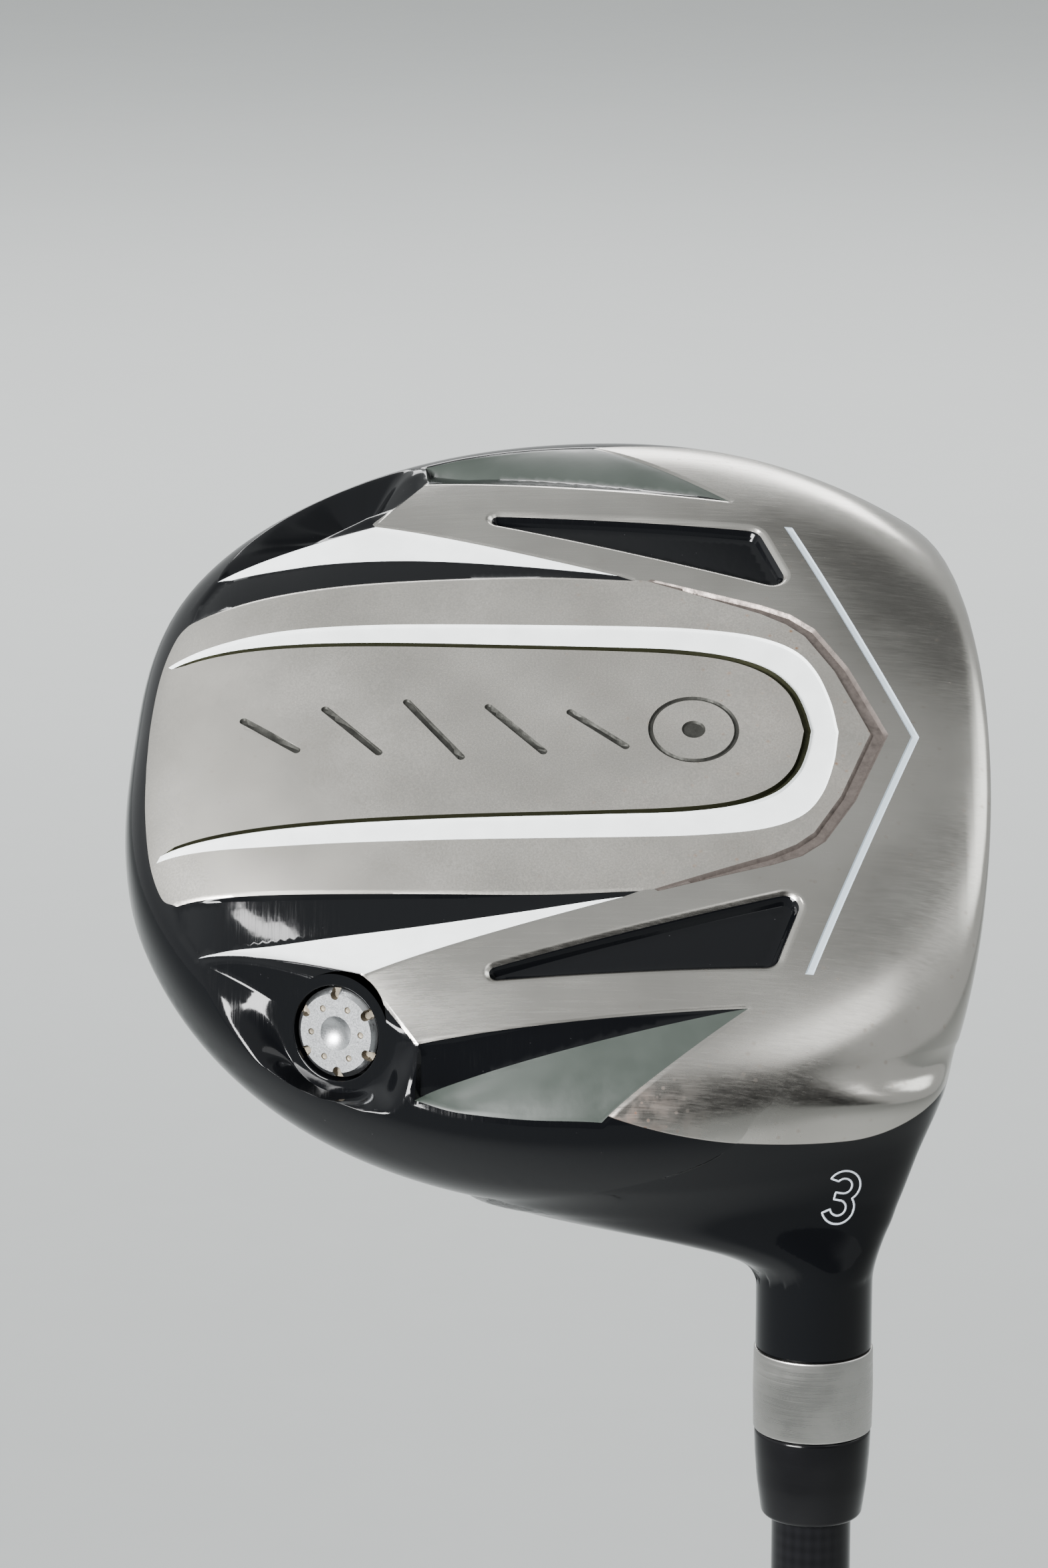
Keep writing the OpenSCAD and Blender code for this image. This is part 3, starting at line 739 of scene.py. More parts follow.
def mesh_chart(half, lines, extra, spacing, fine):
    """Triangles on a half's chart. lines are (points, closed) that edges follow; extra are free points."""
    turns = np.arange(0, 360, 0.75)
    crossing = loop[np.abs(loop[:, 1] - JOINT_RISE) < 1e-9, 0] % 360
    turns = turns[np.min(np.abs(turns[:, None] - crossing[None, :]), axis=1) > 0.3]
    turns = np.sort(np.concatenate([turns, crossing]))
    points = list(half.chart(turns, np.full(len(turns), float(JOINT_RISE))))
    edges = chained(0, len(points), True)
    index = {tuple(np.round(p, 5)): i for i, p in enumerate(points)}
    for line, closed in lines:
        ids = []
        for p in line:
            key = tuple(np.round(p, 5))
            if key not in index:
                index[key] = len(points)
                points.append(p)
            ids.append(index[key])
        edges += [(a, b) for a, b in zip(ids, ids[1:] + ids[:1] * closed) if a != b]
    from_lines = distances_to(points)
    points += [p for p in extra if from_lines(p) > 0.1]
    from_any = distances_to(points)
    free = []
    for step, low, high in ((fine, 0.75 * fine, 2.5 * spacing), (spacing, 2.5 * spacing, 1e9)):
        for k, v in enumerate(np.arange(-CHART_SIZE, CHART_SIZE, step * math.sqrt(3) / 2)):
            u = np.arange(-CHART_SIZE, CHART_SIZE, step) + (k % 2) * step / 2
            p = np.column_stack([u, np.full(len(u), v)])
            rim = around(RADII, turn_of(p)) * half.rim
            p = p[np.hypot(p[:, 0], p[:, 1]) < rim - 0.4 * spacing]
            free += [q for q in p if low < from_any(q) <= high]
    verts, faces = triangulated(points + free, edges)
    middle = verts[faces].mean(axis=1)
    turn, rise = half.angles(middle)
    in_neck = inside(np.column_stack([np.mod(turn, 360), rise]), loop)
    return verts, faces[(half.share(middle) < half.rim) & ~in_neck]


# ---------------------------------------------------------------- materials
class Nodes:
    """A node tree under construction."""

    def __init__(self, tree):
        self.tree = tree

    def feed(self, socket, value):
        if isinstance(value, bpy.types.NodeSocket):
            self.tree.links.new(value, socket)
        else:
            socket.default_value = value

    def node(self, kind, inputs, **settings):
        n = self.tree.nodes.new("ShaderNode" + kind)
        for k, v in settings.items():
            setattr(n, k, v)
        for k, v in inputs.items():
            self.feed(n.inputs[k], v)
        return n

    def math(self, operation, a, b=0.0):
        return self.node("Math", {0: a, 1: b}, operation=operation).outputs[0]

    def plus(self, a, b):
        return self.math("ADD", a, b)

    def times(self, a, b):
        return self.math("MULTIPLY", a, b)

    def larger(self, a, b):
        return self.math("MAXIMUM", a, b)

    def span(self, value, low, high, start=0.0, end=1.0, **settings):
        """value from low..high to start..end, kept inside."""
        ends = {"Value": value, "From Min": low, "From Max": high, "To Min": start, "To Max": end}
        return self.node("MapRange", ends, **settings).outputs["Result"]


class Look(Nodes):
    """A material under construction: the Principled shader, and nodes that feed it."""

    def __init__(self, name, colour, metallic=0.0, roughness=0.5, **sockets):
        self.material = bpy.data.materials.new(name)
        self.material.use_nodes = True
        super().__init__(self.material.node_tree)
        self.put(Base_Color=(*colour, 1), Metallic=metallic, Roughness=roughness, **sockets)

    def put(self, **sockets):
        for name, value in sockets.items():
            self.feed(self.tree.nodes["Principled BSDF"].inputs[name.replace("_", " ")], value)

    def mapped(self, location, rotation, scale):
        place = self.node("TexCoord", {}).outputs["Object"]
        inputs = {"Vector": place, "Location": location, "Rotation": rotation, "Scale": scale}
        return self.node("Mapping", inputs).outputs["Vector"]

    def head_mm(self):
        """Head places in millimetres."""
        turn = Matrix(((0, SINE, COSINE), (1, 0, 0), (0, COSINE, -SINE))).to_euler()
        shift = (-CLUB_LENGTH * COSINE - HEEL_OFFSET, 0, CLUB_LENGTH * SINE)
        return self.mapped(shift, turn, (1 / MM, 1 / MM, 1 / MM))

    def shaft_mm(self):
        """Places about the shaft in millimetres, the third from the ground along the shaft."""
        return self.mapped((0, 0, CLUB_LENGTH), (0, 0, 0), (1 / MM, 1 / MM, -1 / MM))

    def noise(self, places, scale, detail=2.0, rough=0.5, stretch=None):
        if stretch:
            places = self.node("VectorMath", {0: places, 1: stretch}, operation="MULTIPLY").outputs[0]
        n = self.node("TexNoise", {"Vector": places, "Scale": scale, "Detail": detail, "Roughness": rough})
        return n.outputs[0]

    def specks(self, places, scale, small, large):
        """1 at scattered spots of the small radius, down to 0 at the large radius, before scaling."""
        cells = self.node("TexVoronoi", {"Vector": places, "Scale": scale}).outputs["Distance"]
        return self.span(cells, small, large, 1, 0)

    def split(self, places):
        return list(self.node("SeparateXYZ", {"Vector": places}).outputs)

    def mix(self, factor, a, b):
        n = self.node("Mix", {"Factor": factor}, data_type="RGBA")
        for k, v in ((6, a), (7, b)):
            self.feed(n.inputs[k], (*v, 1) if isinstance(v, tuple) else v)
        return n.outputs[2]

    def clouded(self, cloud, colour, dark):
        """The colour, darkened by a factor where the cloud is thin."""
        return self.mix(self.span(cloud, 0.3, 0.7), tuple(dark * c for c in colour), colour)

    def bump(self, height, depth_mm, strength=1.0):
        inputs = {"Height": height, "Distance": depth_mm * MM, "Strength": strength}
        self.put(Normal=self.node("Bump", inputs).outputs["Normal"])


PAINT_BLACK = (0.0022, 0.0024, 0.0029)
PAINT_DUST = (0.02, 0.02, 0.021)
PAINT_IOR = 1.3
STEEL_IOR = 1.5
PLASTIC_BLACK = (0.003, 0.003, 0.0035)
WEAVE_DARK = (0.0025, 0.0025, 0.003)
WEAVE_LIGHT = (0.006, 0.006, 0.007)
RUST = (0.2, 0.1, 0.045)
HEEL_RUST = (0.16, 0.075, 0.045)
RUST_ROUGHER = 0.3


def gloss_black(name):
    """Black paint with a faint orange peel, dust and hair scratches."""
    look = Look(name, PAINT_BLACK, IOR=PAINT_IOR)
    mm = look.head_mm()
    dust = look.times(look.specks(mm, 1.1, 0.05, 0.09), look.span(look.noise(mm, 0.35, 3), 0.56, 0.66))
    scratch = look.noise(mm, 1.2, 4, 0.7, stretch=(0.15, 6.0, 0.4))
    look.put(Base_Color=look.mix(dust, PAINT_BLACK, PAINT_DUST),
             Roughness=look.span(scratch, 0.45, 0.75, 0.06, 0.2))
    look.bump(look.noise(mm, 0.9, 1), 0.012, 0.5)
    return look.material


def heel_paint(look, mm):
    """1 where the black paint covers the heel: past a curved edge, along the shaft."""
    x, y, z = look.split(mm)
    from_peak = look.math("SUBTRACT", y, PAINT_PEAK[0])
    bend = look.span(look.math("GREATER_THAN", from_peak, 0.0), 0, 1, *PAINT_BEND)
    edge = look.math("SUBTRACT", PAINT_PEAK[1], look.times(look.times(from_peak, from_peak), bend))
    past = look.math("SUBTRACT", look.split(look.shaft_mm())[2], edge)
    on_heel = look.math("LESS_THAN", x, 0.0)
    above_skirt = look.math("GREATER_THAN", look.plus(y, look.times(z, 3.0)), PAINT_FOOT)
    return look.times(look.span(past, -0.06, 0.06), look.times(on_heel, above_skirt))


def freckles(look, mm, amount):
    """Share of rust: specks of two sizes and a haze, in patches, mostly near the front."""
    specks = look.larger(look.specks(mm, 0.55, 0.05, 0.2), look.times(look.specks(mm, 1.7, 0.06, 0.14), 0.8))
    patch = look.span(look.noise(mm, 0.11, 4, 0.7), 0.36, 0.58)
    front = look.span(look.split(mm)[1], -32, -3, 0.15, 1)
    return look.times(look.times(look.larger(specks, 0.12), look.times(patch, front)), amount)


def heel_stain(look, mm):
    """Share of rust at the heel's corner: dots and a blotchy stain."""
    x, y, z = look.split(mm)
    corner = look.times(look.span(x, -48, -44, 1, 0), look.span(y, -21, -11, 1, 0))
    blotch = look.span(look.noise(mm, 0.45, 3, 0.6), 0.4, 0.62, 0.08, 0.6)
    return look.times(corner, look.larger(look.specks(mm, 0.95, 0.12, 0.26), blotch))


def bare_steel(name, base, bright, roughness, streaks, heel=False, rust=0.0):
    """Cast steel: blasted grain, or fine polishing streaks along the face, with smudges.

    The polished steel is duller behind the front. With heel, black paint covers the heel.
    """
    look = Look(name, base, 1.0, roughness)
    mm = look.head_mm()
    cloud = look.noise(mm, 0.07, 3)
    colour = look.mix(look.span(cloud, 0.35, 0.65), base, bright)
    broad = look.noise(mm, 1.0, 4, 0.65, stretch=(4.5, 0.06, 2.0))
    fine = look.noise(mm, 1.0, 2, 0.6, stretch=(14.0, 0.2, 6.0))
    lines = look.plus(look.times(broad, 0.6), look.times(fine, 0.4))
    texture = look.plus(look.times(look.noise(mm, 4.5, 2, 0.6), 1 - streaks), look.times(lines, streaks))
    rough = look.plus(look.span(texture, 0.3, 0.7, roughness - 0.05, roughness + 0.07),
                      look.span(cloud, 0.3, 0.7, -0.03, 0.03))
    if streaks:
        rough = look.plus(rough, look.span(look.split(mm)[1], -4, 6, 0.07, 0.0))
    layers = [(freckles(look, mm, rust), RUST)] if rust else []
    layers += [(heel_stain(look, mm), HEEL_RUST)] if heel else []
    for share, tint in layers:
        colour = look.mix(share, colour, tint)
        rough = look.plus(rough, look.times(share, RUST_ROUGHER))
    if heel:
        paint = heel_paint(look, mm)
        colour = look.mix(paint, colour, PAINT_BLACK)
        rough = look.span(paint, 0, 1, rough, 0.08)
        texture = look.times(texture, look.math("SUBTRACT", 1.0, paint))
        look.put(Metallic=look.span(paint, 0, 1, 1, 0), IOR=look.span(paint, 0, 1, STEEL_IOR, PAINT_IOR))
    look.put(Base_Color=colour, Roughness=rough)
    look.bump(texture, 0.006 - 0.003 * streaks, 0.6)
    return look.material


def enamel(name, colour, roughness, coat=0.4, chips=None):
    """Paint that fills a recess: slightly uneven, with specks."""
    look = Look(name, colour, Coat_Weight=coat, Coat_Roughness=0.05)
    mm = look.head_mm()
    cloud = look.noise(mm, 0.3, 3)
    speck = look.times(look.specks(mm, 0.9, 0.04, 0.07), look.span(look.noise(mm, 0.5, 2), 0.6, 0.7))
    chips = chips or tuple(0.9 * c for c in colour)
    look.put(Base_Color=look.mix(speck, look.clouded(cloud, colour, 0.9), chips),
             Roughness=look.span(cloud, 0.3, 0.7, roughness - 0.04, roughness + 0.06))
    look.bump(look.noise(mm, 1.4, 2), 0.01, 0.5)
    return look.material


def shaded_steel(name, colour, roughness):
    """Steel at the bottom of a groove, coloured dark as painted shade, and darker still in blotches."""
    look = Look(name, colour, 0.85, roughness)
    mm = look.head_mm()
    dark_blotches = look.noise(mm, 1.1, 4, 0.65)
    # painted shade: the colour given is the recess's shade, darkened further where the blotches are
    look.put(Base_Color=look.mix(look.span(dark_blotches, 0.35, 0.7), colour, tuple(0.45 * c for c in colour)),
             Roughness=look.span(dark_blotches, 0.3, 0.7, roughness, roughness + 0.25))
    look.bump(look.noise(mm, 5, 2), 0.01, 0.6)
    return look.material


def turned(name, colour, metallic, roughness, pitch, depth):
    """Surface with fine rings round the shaft."""
    look = Look(name, colour, metallic, IOR=PAINT_IOR, Anisotropic=0.7 * metallic)
    mm = look.shaft_mm()
    rings = look.noise(mm, 1.0, 3, 0.6, stretch=(0.12, 0.12, pitch))
    cloud = look.noise(mm, 0.25, 3)
    look.put(Base_Color=look.clouded(cloud, colour, 0.86),
             Tangent=look.node("Tangent", {}, direction_type="RADIAL", axis="Z").outputs[0],
             Roughness=look.plus(look.span(rings, 0.3, 0.7, roughness - 0.04, roughness + 0.08),
                                 look.span(cloud, 0.3, 0.7, -0.02, 0.03)))
    look.bump(rings, depth, 0.7)
    return look.material


def grained(name, colour, roughness, scale, depth, metallic=0.0, dark=0.75):
    """Plain material with grain and cloudy variation."""
    look = Look(name, colour, metallic)
    mm = look.shaft_mm()
    grain = look.noise(mm, scale, 3, 0.6)
    look.put(Base_Color=look.clouded(look.noise(mm, scale * 0.12, 3), colour, dark),
             Roughness=look.span(grain, 0.3, 0.7, roughness - 0.06, roughness + 0.06))
    look.bump(grain, depth, 0.7)
    return look.material


def woven_lacquer(name, strands=12.0, twist=2.2):
    """Black lacquer over wound graphite, with a very faint weave."""
    look = Look(name, PLASTIC_BLACK, IOR=PAINT_IOR)
    mm = look.shaft_mm()
    x, y, t = look.split(mm)
    round_shaft, along = look.times(look.math("ARCTAN2", y, x), strands), look.times(t, twist)
    weave = look.times(look.math("SINE", look.plus(round_shaft, along)),
                       look.math("SINE", look.math("SUBTRACT", round_shaft, along)))
    look.put(Base_Color=look.mix(look.span(weave, -1, 1, 0, 0.6), WEAVE_DARK, WEAVE_LIGHT),
             Roughness=look.span(look.noise(mm, 0.6, 3), 0.3, 0.7, 0.08, 0.17))
    return look.material


SATIN = bare_steel("satin_steel", (0.50, 0.478, 0.44), (0.58, 0.556, 0.515), 0.37, 0.0, rust=0.9)
POLISHED = bare_steel("polished_steel", (0.41, 0.396, 0.368), (0.475, 0.46, 0.428), 0.17, 1.0,
                      heel=True, rust=0.25)
BLACK = gloss_black("black_gloss")
WHITE = enamel("white_enamel", (0.80, 0.83, 0.83), 0.2, 0.5, chips=(0.45, 0.42, 0.36))
BLUE = enamel("pale_blue_enamel", (0.36, 0.42, 0.47), 0.3)
GREY = enamel("grey_green_enamel", (0.027, 0.034, 0.029), 0.36, 0.0)
ENAMEL_BLACK = gloss_black("black_enamel")
# Painted shade in recesses: brown-grey steel in the groove, near-black steel in the engraving and score
# lines
GROOVE = shaded_steel("groove_painted_shade", (0.2, 0.17, 0.155), 0.34)
DARK = shaded_steel("engraving", (0.05, 0.05, 0.045), 0.5)
OLIVE = shaded_steel("channel_shadow", (0.035, 0.036, 0.018), 0.45)
PALETTE = [SATIN, POLISHED, BLACK, WHITE, GREY, BLUE, GROOVE, DARK, OLIVE, ENAMEL_BLACK]
(Z_SATIN, Z_POLISH, Z_BLACK, Z_WHITE, Z_GREY, Z_BLUE, Z_GROOVE, Z_DARK, Z_OLIVE,
 Z_ENAMEL) = range(len(PALETTE))


# ---------------------------------------------------------------- meshes
def new_mesh(name, verts, faces):
    """Smooth mesh from head places."""
    mesh = bpy.data.meshes.new(name)
    mesh.from_pydata(to_row(verts).tolist(), [], [[int(v) for v in f] for f in faces])
    mesh.polygons.foreach_set("use_smooth", np.ones(len(faces), bool))
    mesh.update()
    return mesh


def finish_mesh(name, verts, faces, palette, zones=None, corner=None, sharp=35):
    """Object from head places. zones picks each face's material from the palette, the first if not
    given; corner gives every corner's normal in the frame, if known."""
    mesh = new_mesh(name, verts, faces)
    used, slots = np.unique(np.zeros(len(faces)) if zones is None else zones, return_inverse=True)
    for z in used:
        mesh.materials.append(palette[int(z)])
    mesh.polygons.foreach_set("material_index", slots.astype(np.int32))
    if corner is None:
        mesh.set_sharp_from_angle(angle=math.radians(sharp))
    else:
        mesh.normals_split_custom_set(corner.tolist())
    ob = bpy.data.objects.new(name, mesh)
    bpy.context.scene.collection.objects.link(ob)
    return ob


def corner_normals(verts, faces, known, sharp=35):
    """Normals at every corner: smooth up to a sharp angle, and exact where known."""
    mesh = new_mesh("scratch", verts, faces)
    mesh.set_sharp_from_angle(angle=math.radians(sharp))
    corner = np.array([c.vector for c in mesh.corner_normals])
    exact = turn_to_row(known)[[v for f in faces for v in f]]
    near = np.sum(corner * np.nan_to_num(exact), axis=1) > 0.9
    corner[near] = exact[near]
    bpy.data.meshes.remove(mesh)
    return corner


def part_of(name, verts, faces, zones, corner, chosen):
    """A separate piece made of the chosen faces, with the whole's normals."""
    starts = np.cumsum([0] + [len(f) for f in faces])
    picked = np.flatnonzero(chosen)
    used = sorted({v for i in picked for v in faces[i]})
    new = {v: k for k, v in enumerate(used)}
    some = [[new[v] for v in faces[i]] for i in picked]
    loops = np.concatenate([np.arange(starts[i], starts[i + 1]) for i in picked])
    return finish_mesh(name, verts[used], some, PALETTE, zones[picked], corner[loops])


def declare(piece, slot, *nodes, body="club"):
    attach(piece, body)
    if nodes:
        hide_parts(*nodes)


# ---------------------------------------------------------------- the head
def face_outline(steps=48):
    """The insert's outline in x and z: the hull of a disc at each corner of a quadrilateral."""
    points = []
    for x, y, r in FACE_CORNERS:
        for t in np.arange(steps) * 2 * math.pi / steps:
            points.append((x + r * math.cos(t), FACE_MID[1] + (y + r * math.sin(t)) * math.cos(LOFT)))
    points = sorted(set(points))
    hull = []
    for line in (points, points[::-1]):
        chain = []
        for p in line:
            while len(chain) > 1 and np.cross(np.subtract(chain[-1], chain[-2]),
                                              np.subtract(p, chain[-1])) <= 0:
                chain.pop()
            chain.append(p)
        hull += chain[:-1]
    return sampled(hull, 0.5, closed=True)


face_edge = face_outline()


def bed(base):
    """How far the skin is pushed in under the face insert."""
    near = base[:, 1] > face_y(base[:, 0], base[:, 2]) - 1.5
    d = depth_in(base[:, [0, 2]], face_edge)
    return np.where(near, FACE_BED * smooth((d - 0.4) / 0.8), 0)


def raised(half, chart, height):
    """Skin places raised by a height, the skin's normals, and the same only where it is left alone."""
    base, normal = half.place(chart), half.normal(chart)
    h = height - bed(base)
    return base + normal * h[:, None], normal, np.where((np.abs(h) < 1e-6)[:, None], normal, np.nan)


def sole_zones(ground):
    """Which material each place on the sole has, and which painted recess it lies in."""
    p = folded_over(ground)
    zone = np.where(inside(ground, steel), Z_POLISH, Z_BLACK)
    zone[inside(ground, tongue)] = Z_SATIN
    recess = np.full(len(p), "", object)
    for outline, material, name, where in (
            (valley, Z_ENAMEL, "black", p), (white_flash, Z_WHITE, "white", p),
            (scoop, Z_ENAMEL, "scoop", p), (grey_flash, Z_GREY, "grey", p),
            (pocket, Z_ENAMEL, "pocket", p), (channel, Z_WHITE, "channel", ground),
            (dark_line, Z_OLIVE, "", ground), (groove, Z_GROOVE, "", ground),
            (chevron, Z_BLUE, "chevron", ground)):
        on = inside(where, outline)
        zone[on] = material
        recess[on] = name
    # the engraving gets near-black steel, painted shade
    zone[inside_any(ground, engraved) | (in_ring(ground) > 0)] = Z_DARK
    return zone, recess


def loop_arc(half):
    """The part of the neck loop on this half, as one open line on its chart."""
    above = (loop[:, 1] - JOINT_RISE) * (-1 if half is SOLE else 1)
    on = above >= -1e-9
    start = next(i for i in range(len(loop)) if on[i] and not on[i - 1])
    return half.chart(*np.roll(loop, -start, axis=0)[:np.count_nonzero(on)].T)


def left_turning(outline):
    x, y = outline[:, 0], outline[:, 1]
    return np.sum(x * np.roll(y, -1) - np.roll(x, -1) * y) > 0


def sole_lines():
    """Lines on the sole's chart that its edges follow, and the rows of points beside them."""
    lines, extra = [(loop_arc(SOLE), False)], []

    def add(line, rows=None, closed=True):
        lines.append((on_chart(line), closed))
        if rows:
            side = 1 if left_turning(line) else -1
            extra.append(on_chart(beside(line, [side * o for o in ROWS[rows]], closed)))

    for flip in (np.asarray, mirrored):
        for outline, rows in ((valley, "edge"), (scoop, "edge"), (pocket, "pocket")):
            add(flip(outline), rows)
        add(flip(crease), closed=False)
        add(flip(scoop_crease), closed=False)
        add(flip(facet))
        add(flip(white_flash))
    add(toe_steel, closed=False)
    add(heel_steel, closed=False)
    add(tongue)
    for outline, rows in ((channel, "fine"), (dark_line, "fine"), (groove, "edge"), (chevron, "line")):
        add(outline, rows)
    for outline in engraved + ring_edges:
        add(outline, "engraving")
    return lines, np.vstack(extra)


def open_loops(faces):
    """Closed loops of vertices along the edges that only one face uses."""
    directed = {(f[i], f[(i + 1) % len(f)]) for f in faces for i in range(len(f))}
    after = {a: b for a, b in directed if (b, a) not in directed}
    loops = []
    while after:
        start = next(iter(after))
        ring = [start]
        step = after.pop(start)
        while step != start and step in after:
            ring.append(step)
            step = after.pop(step)
        loops.append(ring)
    return loops


def flipped(faces):
    return [tuple(int(v) for v in f[::-1]) for f in faces]


def build_head():
    """The sole, skirt, neck and hosel, cut into the bare body and its painted recesses.

    Gives, for each side, the facet's open rim: its places, ground places and skin normals.
    """
    chart, faces = mesh_chart(SOLE, *sole_lines(), 1.1, 0.5)
    middle = chart_to_ground(chart[faces].mean(axis=1))
    faces = faces[~inside(folded_over(middle), facet)]
    ground = chart_to_ground(chart)
    verts, normal, known = raised(SOLE, chart, heights(ground))
    zones, recess = sole_zones(chart_to_ground(chart[faces].mean(axis=1)))
    on_toe = ground[faces].mean(axis=1)[:, 0] > 0
    rims = {}
    for ring in open_loops([tuple(f) for f in faces]):
        centre = ground[ring].mean(axis=0)
        if np.all(np.abs(folded_over(centre[None])[0] - FACET_MIDDLE) < FACET_REACH) and len(ring) > 60:
            rims["toe" if centre[0] > 0 else "heel"] = (verts[ring], ground[ring], normal[ring])
    grid, grid_normals = neck_patch()
    quads = bands(*grid.shape[:2], start=len(verts))
    verts = np.vstack([verts, grid.reshape(-1, 3)])
    known = np.vstack([known, grid_normals.reshape(-1, 3)])
    faces = flipped(faces) + quads
    zones = np.concatenate([zones, np.full(len(quads), Z_POLISH)])
    recess = np.concatenate([recess, np.full(len(quads), "", object)])
    on_toe = np.concatenate([on_toe, np.zeros(len(quads), bool)])
    corner = corner_normals(verts, faces, known)
    pieces = [("head_shell", recess == "", "cast_steel", "head_body"),
              ("channel_paint", recess == "channel", "white_enamel", "channel_enamel"),
              ("chevron_paint", recess == "chevron", "pale_blue_enamel", "chevron_enamel")]
    for side, on in (("toe", on_toe), ("heel", ~on_toe)):
        for name, slot in (("white", "white_enamel"), ("black", "black_enamel"), ("pocket", "black_enamel"),
                           ("scoop", "black_enamel"), ("grey", "grey_enamel")):
            pieces.append((f"{side}_{name}_paint", (recess == name) & on, slot, f"{side}_{name}_enamel"))
    for name, chosen, slot, node in pieces:
        declare(part_of(name, verts, faces, zones, corner, chosen), slot, node)
    return rims


def build_crown():
    chart, faces = mesh_chart(CROWN, [(loop_arc(CROWN), False)], [], 1.1, 0.6)
    verts, _, known = raised(CROWN, chart, 0)
    faces = flipped(faces)
    return finish_mesh("crown_shell", verts, faces, [BLACK], corner=corner_normals(verts, faces, known))


facet_rims = build_head()
declare(build_crown(), "black_gloss", "crown")


# ---------------------------------------------------------------- corner facets and weight port
def facet_patch(side):
    """Corner dish round the port's circle: steep below the flash and arm, flared to the skirt."""
    ring, ground, normal = facet_rims[side]
    flip = np.array([-1.0 if side == "toe" else 1.0, 1, 1])
    centre, axis = WEIGHT_AT * flip, WEIGHT_AXIS * flip
    wide = folded_over(ground)
    offset = ring - centre
    high = offset @ axis
    flat = offset - np.outer(high, axis)
    reach = np.linalg.norm(flat, axis=1)
    way = flat / reach[:, None]
    slope = np.clip(np.sum(normal * way, axis=1) / (normal @ axis), 0, FLARE_SLOPE)
    below_arm = distance(wide, arm_end) < 0.3
    walled = (below_arm | (distance(wide, flash_end) < 0.3)).astype(float)
    for sweep in range(WALL_SWEEPS):
        walled = (walled + np.roll(walled, 1) + np.roll(walled, -1)) / 3
    length = reach - (PORT_R if side == "heel" else TOE_DISH_R)
    verts, zones = [], []
    for share in (np.arange(FACET_ROWS + 1) / FACET_ROWS) ** 1.7:
        run = length * share
        wall = high * (1 - smooth(run / WALL_W))
        flare = high * (1 - smooth(share)) + slope * length * share * (1 - share) ** 2
        height = walled * wall + (1 - walled) * flare
        verts.append(centre + way * (reach - run)[:, None] + np.outer(height, axis))
        zones.append(np.where(below_arm & (run < BEVEL_W), Z_POLISH, Z_ENAMEL))
    n = len(ring)
    faces = bands(FACET_ROWS + 1, n)
    zones = np.concatenate(zones[:-1])
    if side == "toe":
        faces.append(tuple(FACET_ROWS * n + j for j in range(n)))
        zones = np.append(zones, Z_ENAMEL)
    return finish_mesh(side + "_facet", np.vstack(verts), faces, PALETTE, zones, sharp=75)


def square_to(axis):
    """Two directions square to an axis and to each other."""
    side = unit(np.cross(axis, [0.3, 1, 0.2]))
    return side, np.cross(axis, side)


def lathe(profile, count, centre, axis):
    """Verts and faces of a turned shape. profile is radius and height along the axis."""
    side, other = square_to(axis)
    t = np.linspace(0, 2 * math.pi, count, endpoint=False)
    ring = np.outer(np.cos(t), side) + np.outer(np.sin(t), other)
    return np.vstack([centre + ring * r + axis * h for r, h in profile]), bands(len(profile), count)


def soft_corners(profile, r, steps=4):
    """Profile with its inner corners rounded."""
    out = [profile[0]]
    for before, corner, after in zip(profile[:-2], profile[1:-1], profile[2:]):
        a, b, c = (np.asarray(q, float) for q in (before, corner, after))
        cut = min(r, 0.45 * np.linalg.norm(a - b), 0.45 * np.linalg.norm(c - b))
        p, q = b + unit(a - b) * cut, b + unit(c - b) * cut
        for f in np.arange(steps + 1) / steps:
            out.append(tuple((1 - f) ** 2 * p + 2 * f * (1 - f) * b + f * f * q))
    out.append(profile[-1])
    return out


def round_shaft(name, heights, soft, material, sharp=30):
    """Piece turned about the shaft. heights are radius and height above the butt end."""
    profile = soft_corners([(r, CLUB_LENGTH - z) for r, z in heights], soft)
    verts, faces = lathe(profile, 128, np.zeros(3), np.array([0, 0, 1.0]))
    return finish_mesh(name, from_shaft(verts), faces, [material], sharp=sharp)


for side in ("toe", "heel"):
    declare(facet_patch(side), "black_gloss")

port_profile = [(PORT_R, 0), (SEAT_R, 0), (SEAT_R, -PORT_DEPTH), (THREAD_R, -PORT_DEPTH),
                (THREAD_R, -PORT_END), (0.01, -PORT_END)]
port = lathe(soft_corners(port_profile, 0.14), 96, WEIGHT_AT, WEIGHT_AXIS)
declare(finish_mesh("port_ring", *port, [ENAMEL_BLACK], sharp=30), "black_gloss", "weight_port")


# ---------------------------------------------------------------- weight screw
def spun(places, turn):
    c, s = math.cos(turn), math.sin(turn)
    return places @ np.array([[c, s], [-s, c]])


def notch_outline(turn):
    """A spanner notch: open at the rim, round at its inner end."""
    w = NOTCH_W / 2
    end = [(NOTCH_IN + w - w * math.cos(t), w * math.sin(t)) for t in np.linspace(1.57, -1.57, 9)]
    return spun(np.array([(SCREW_R + 1, w)] + end + [(SCREW_R + 1, -w)]), turn)


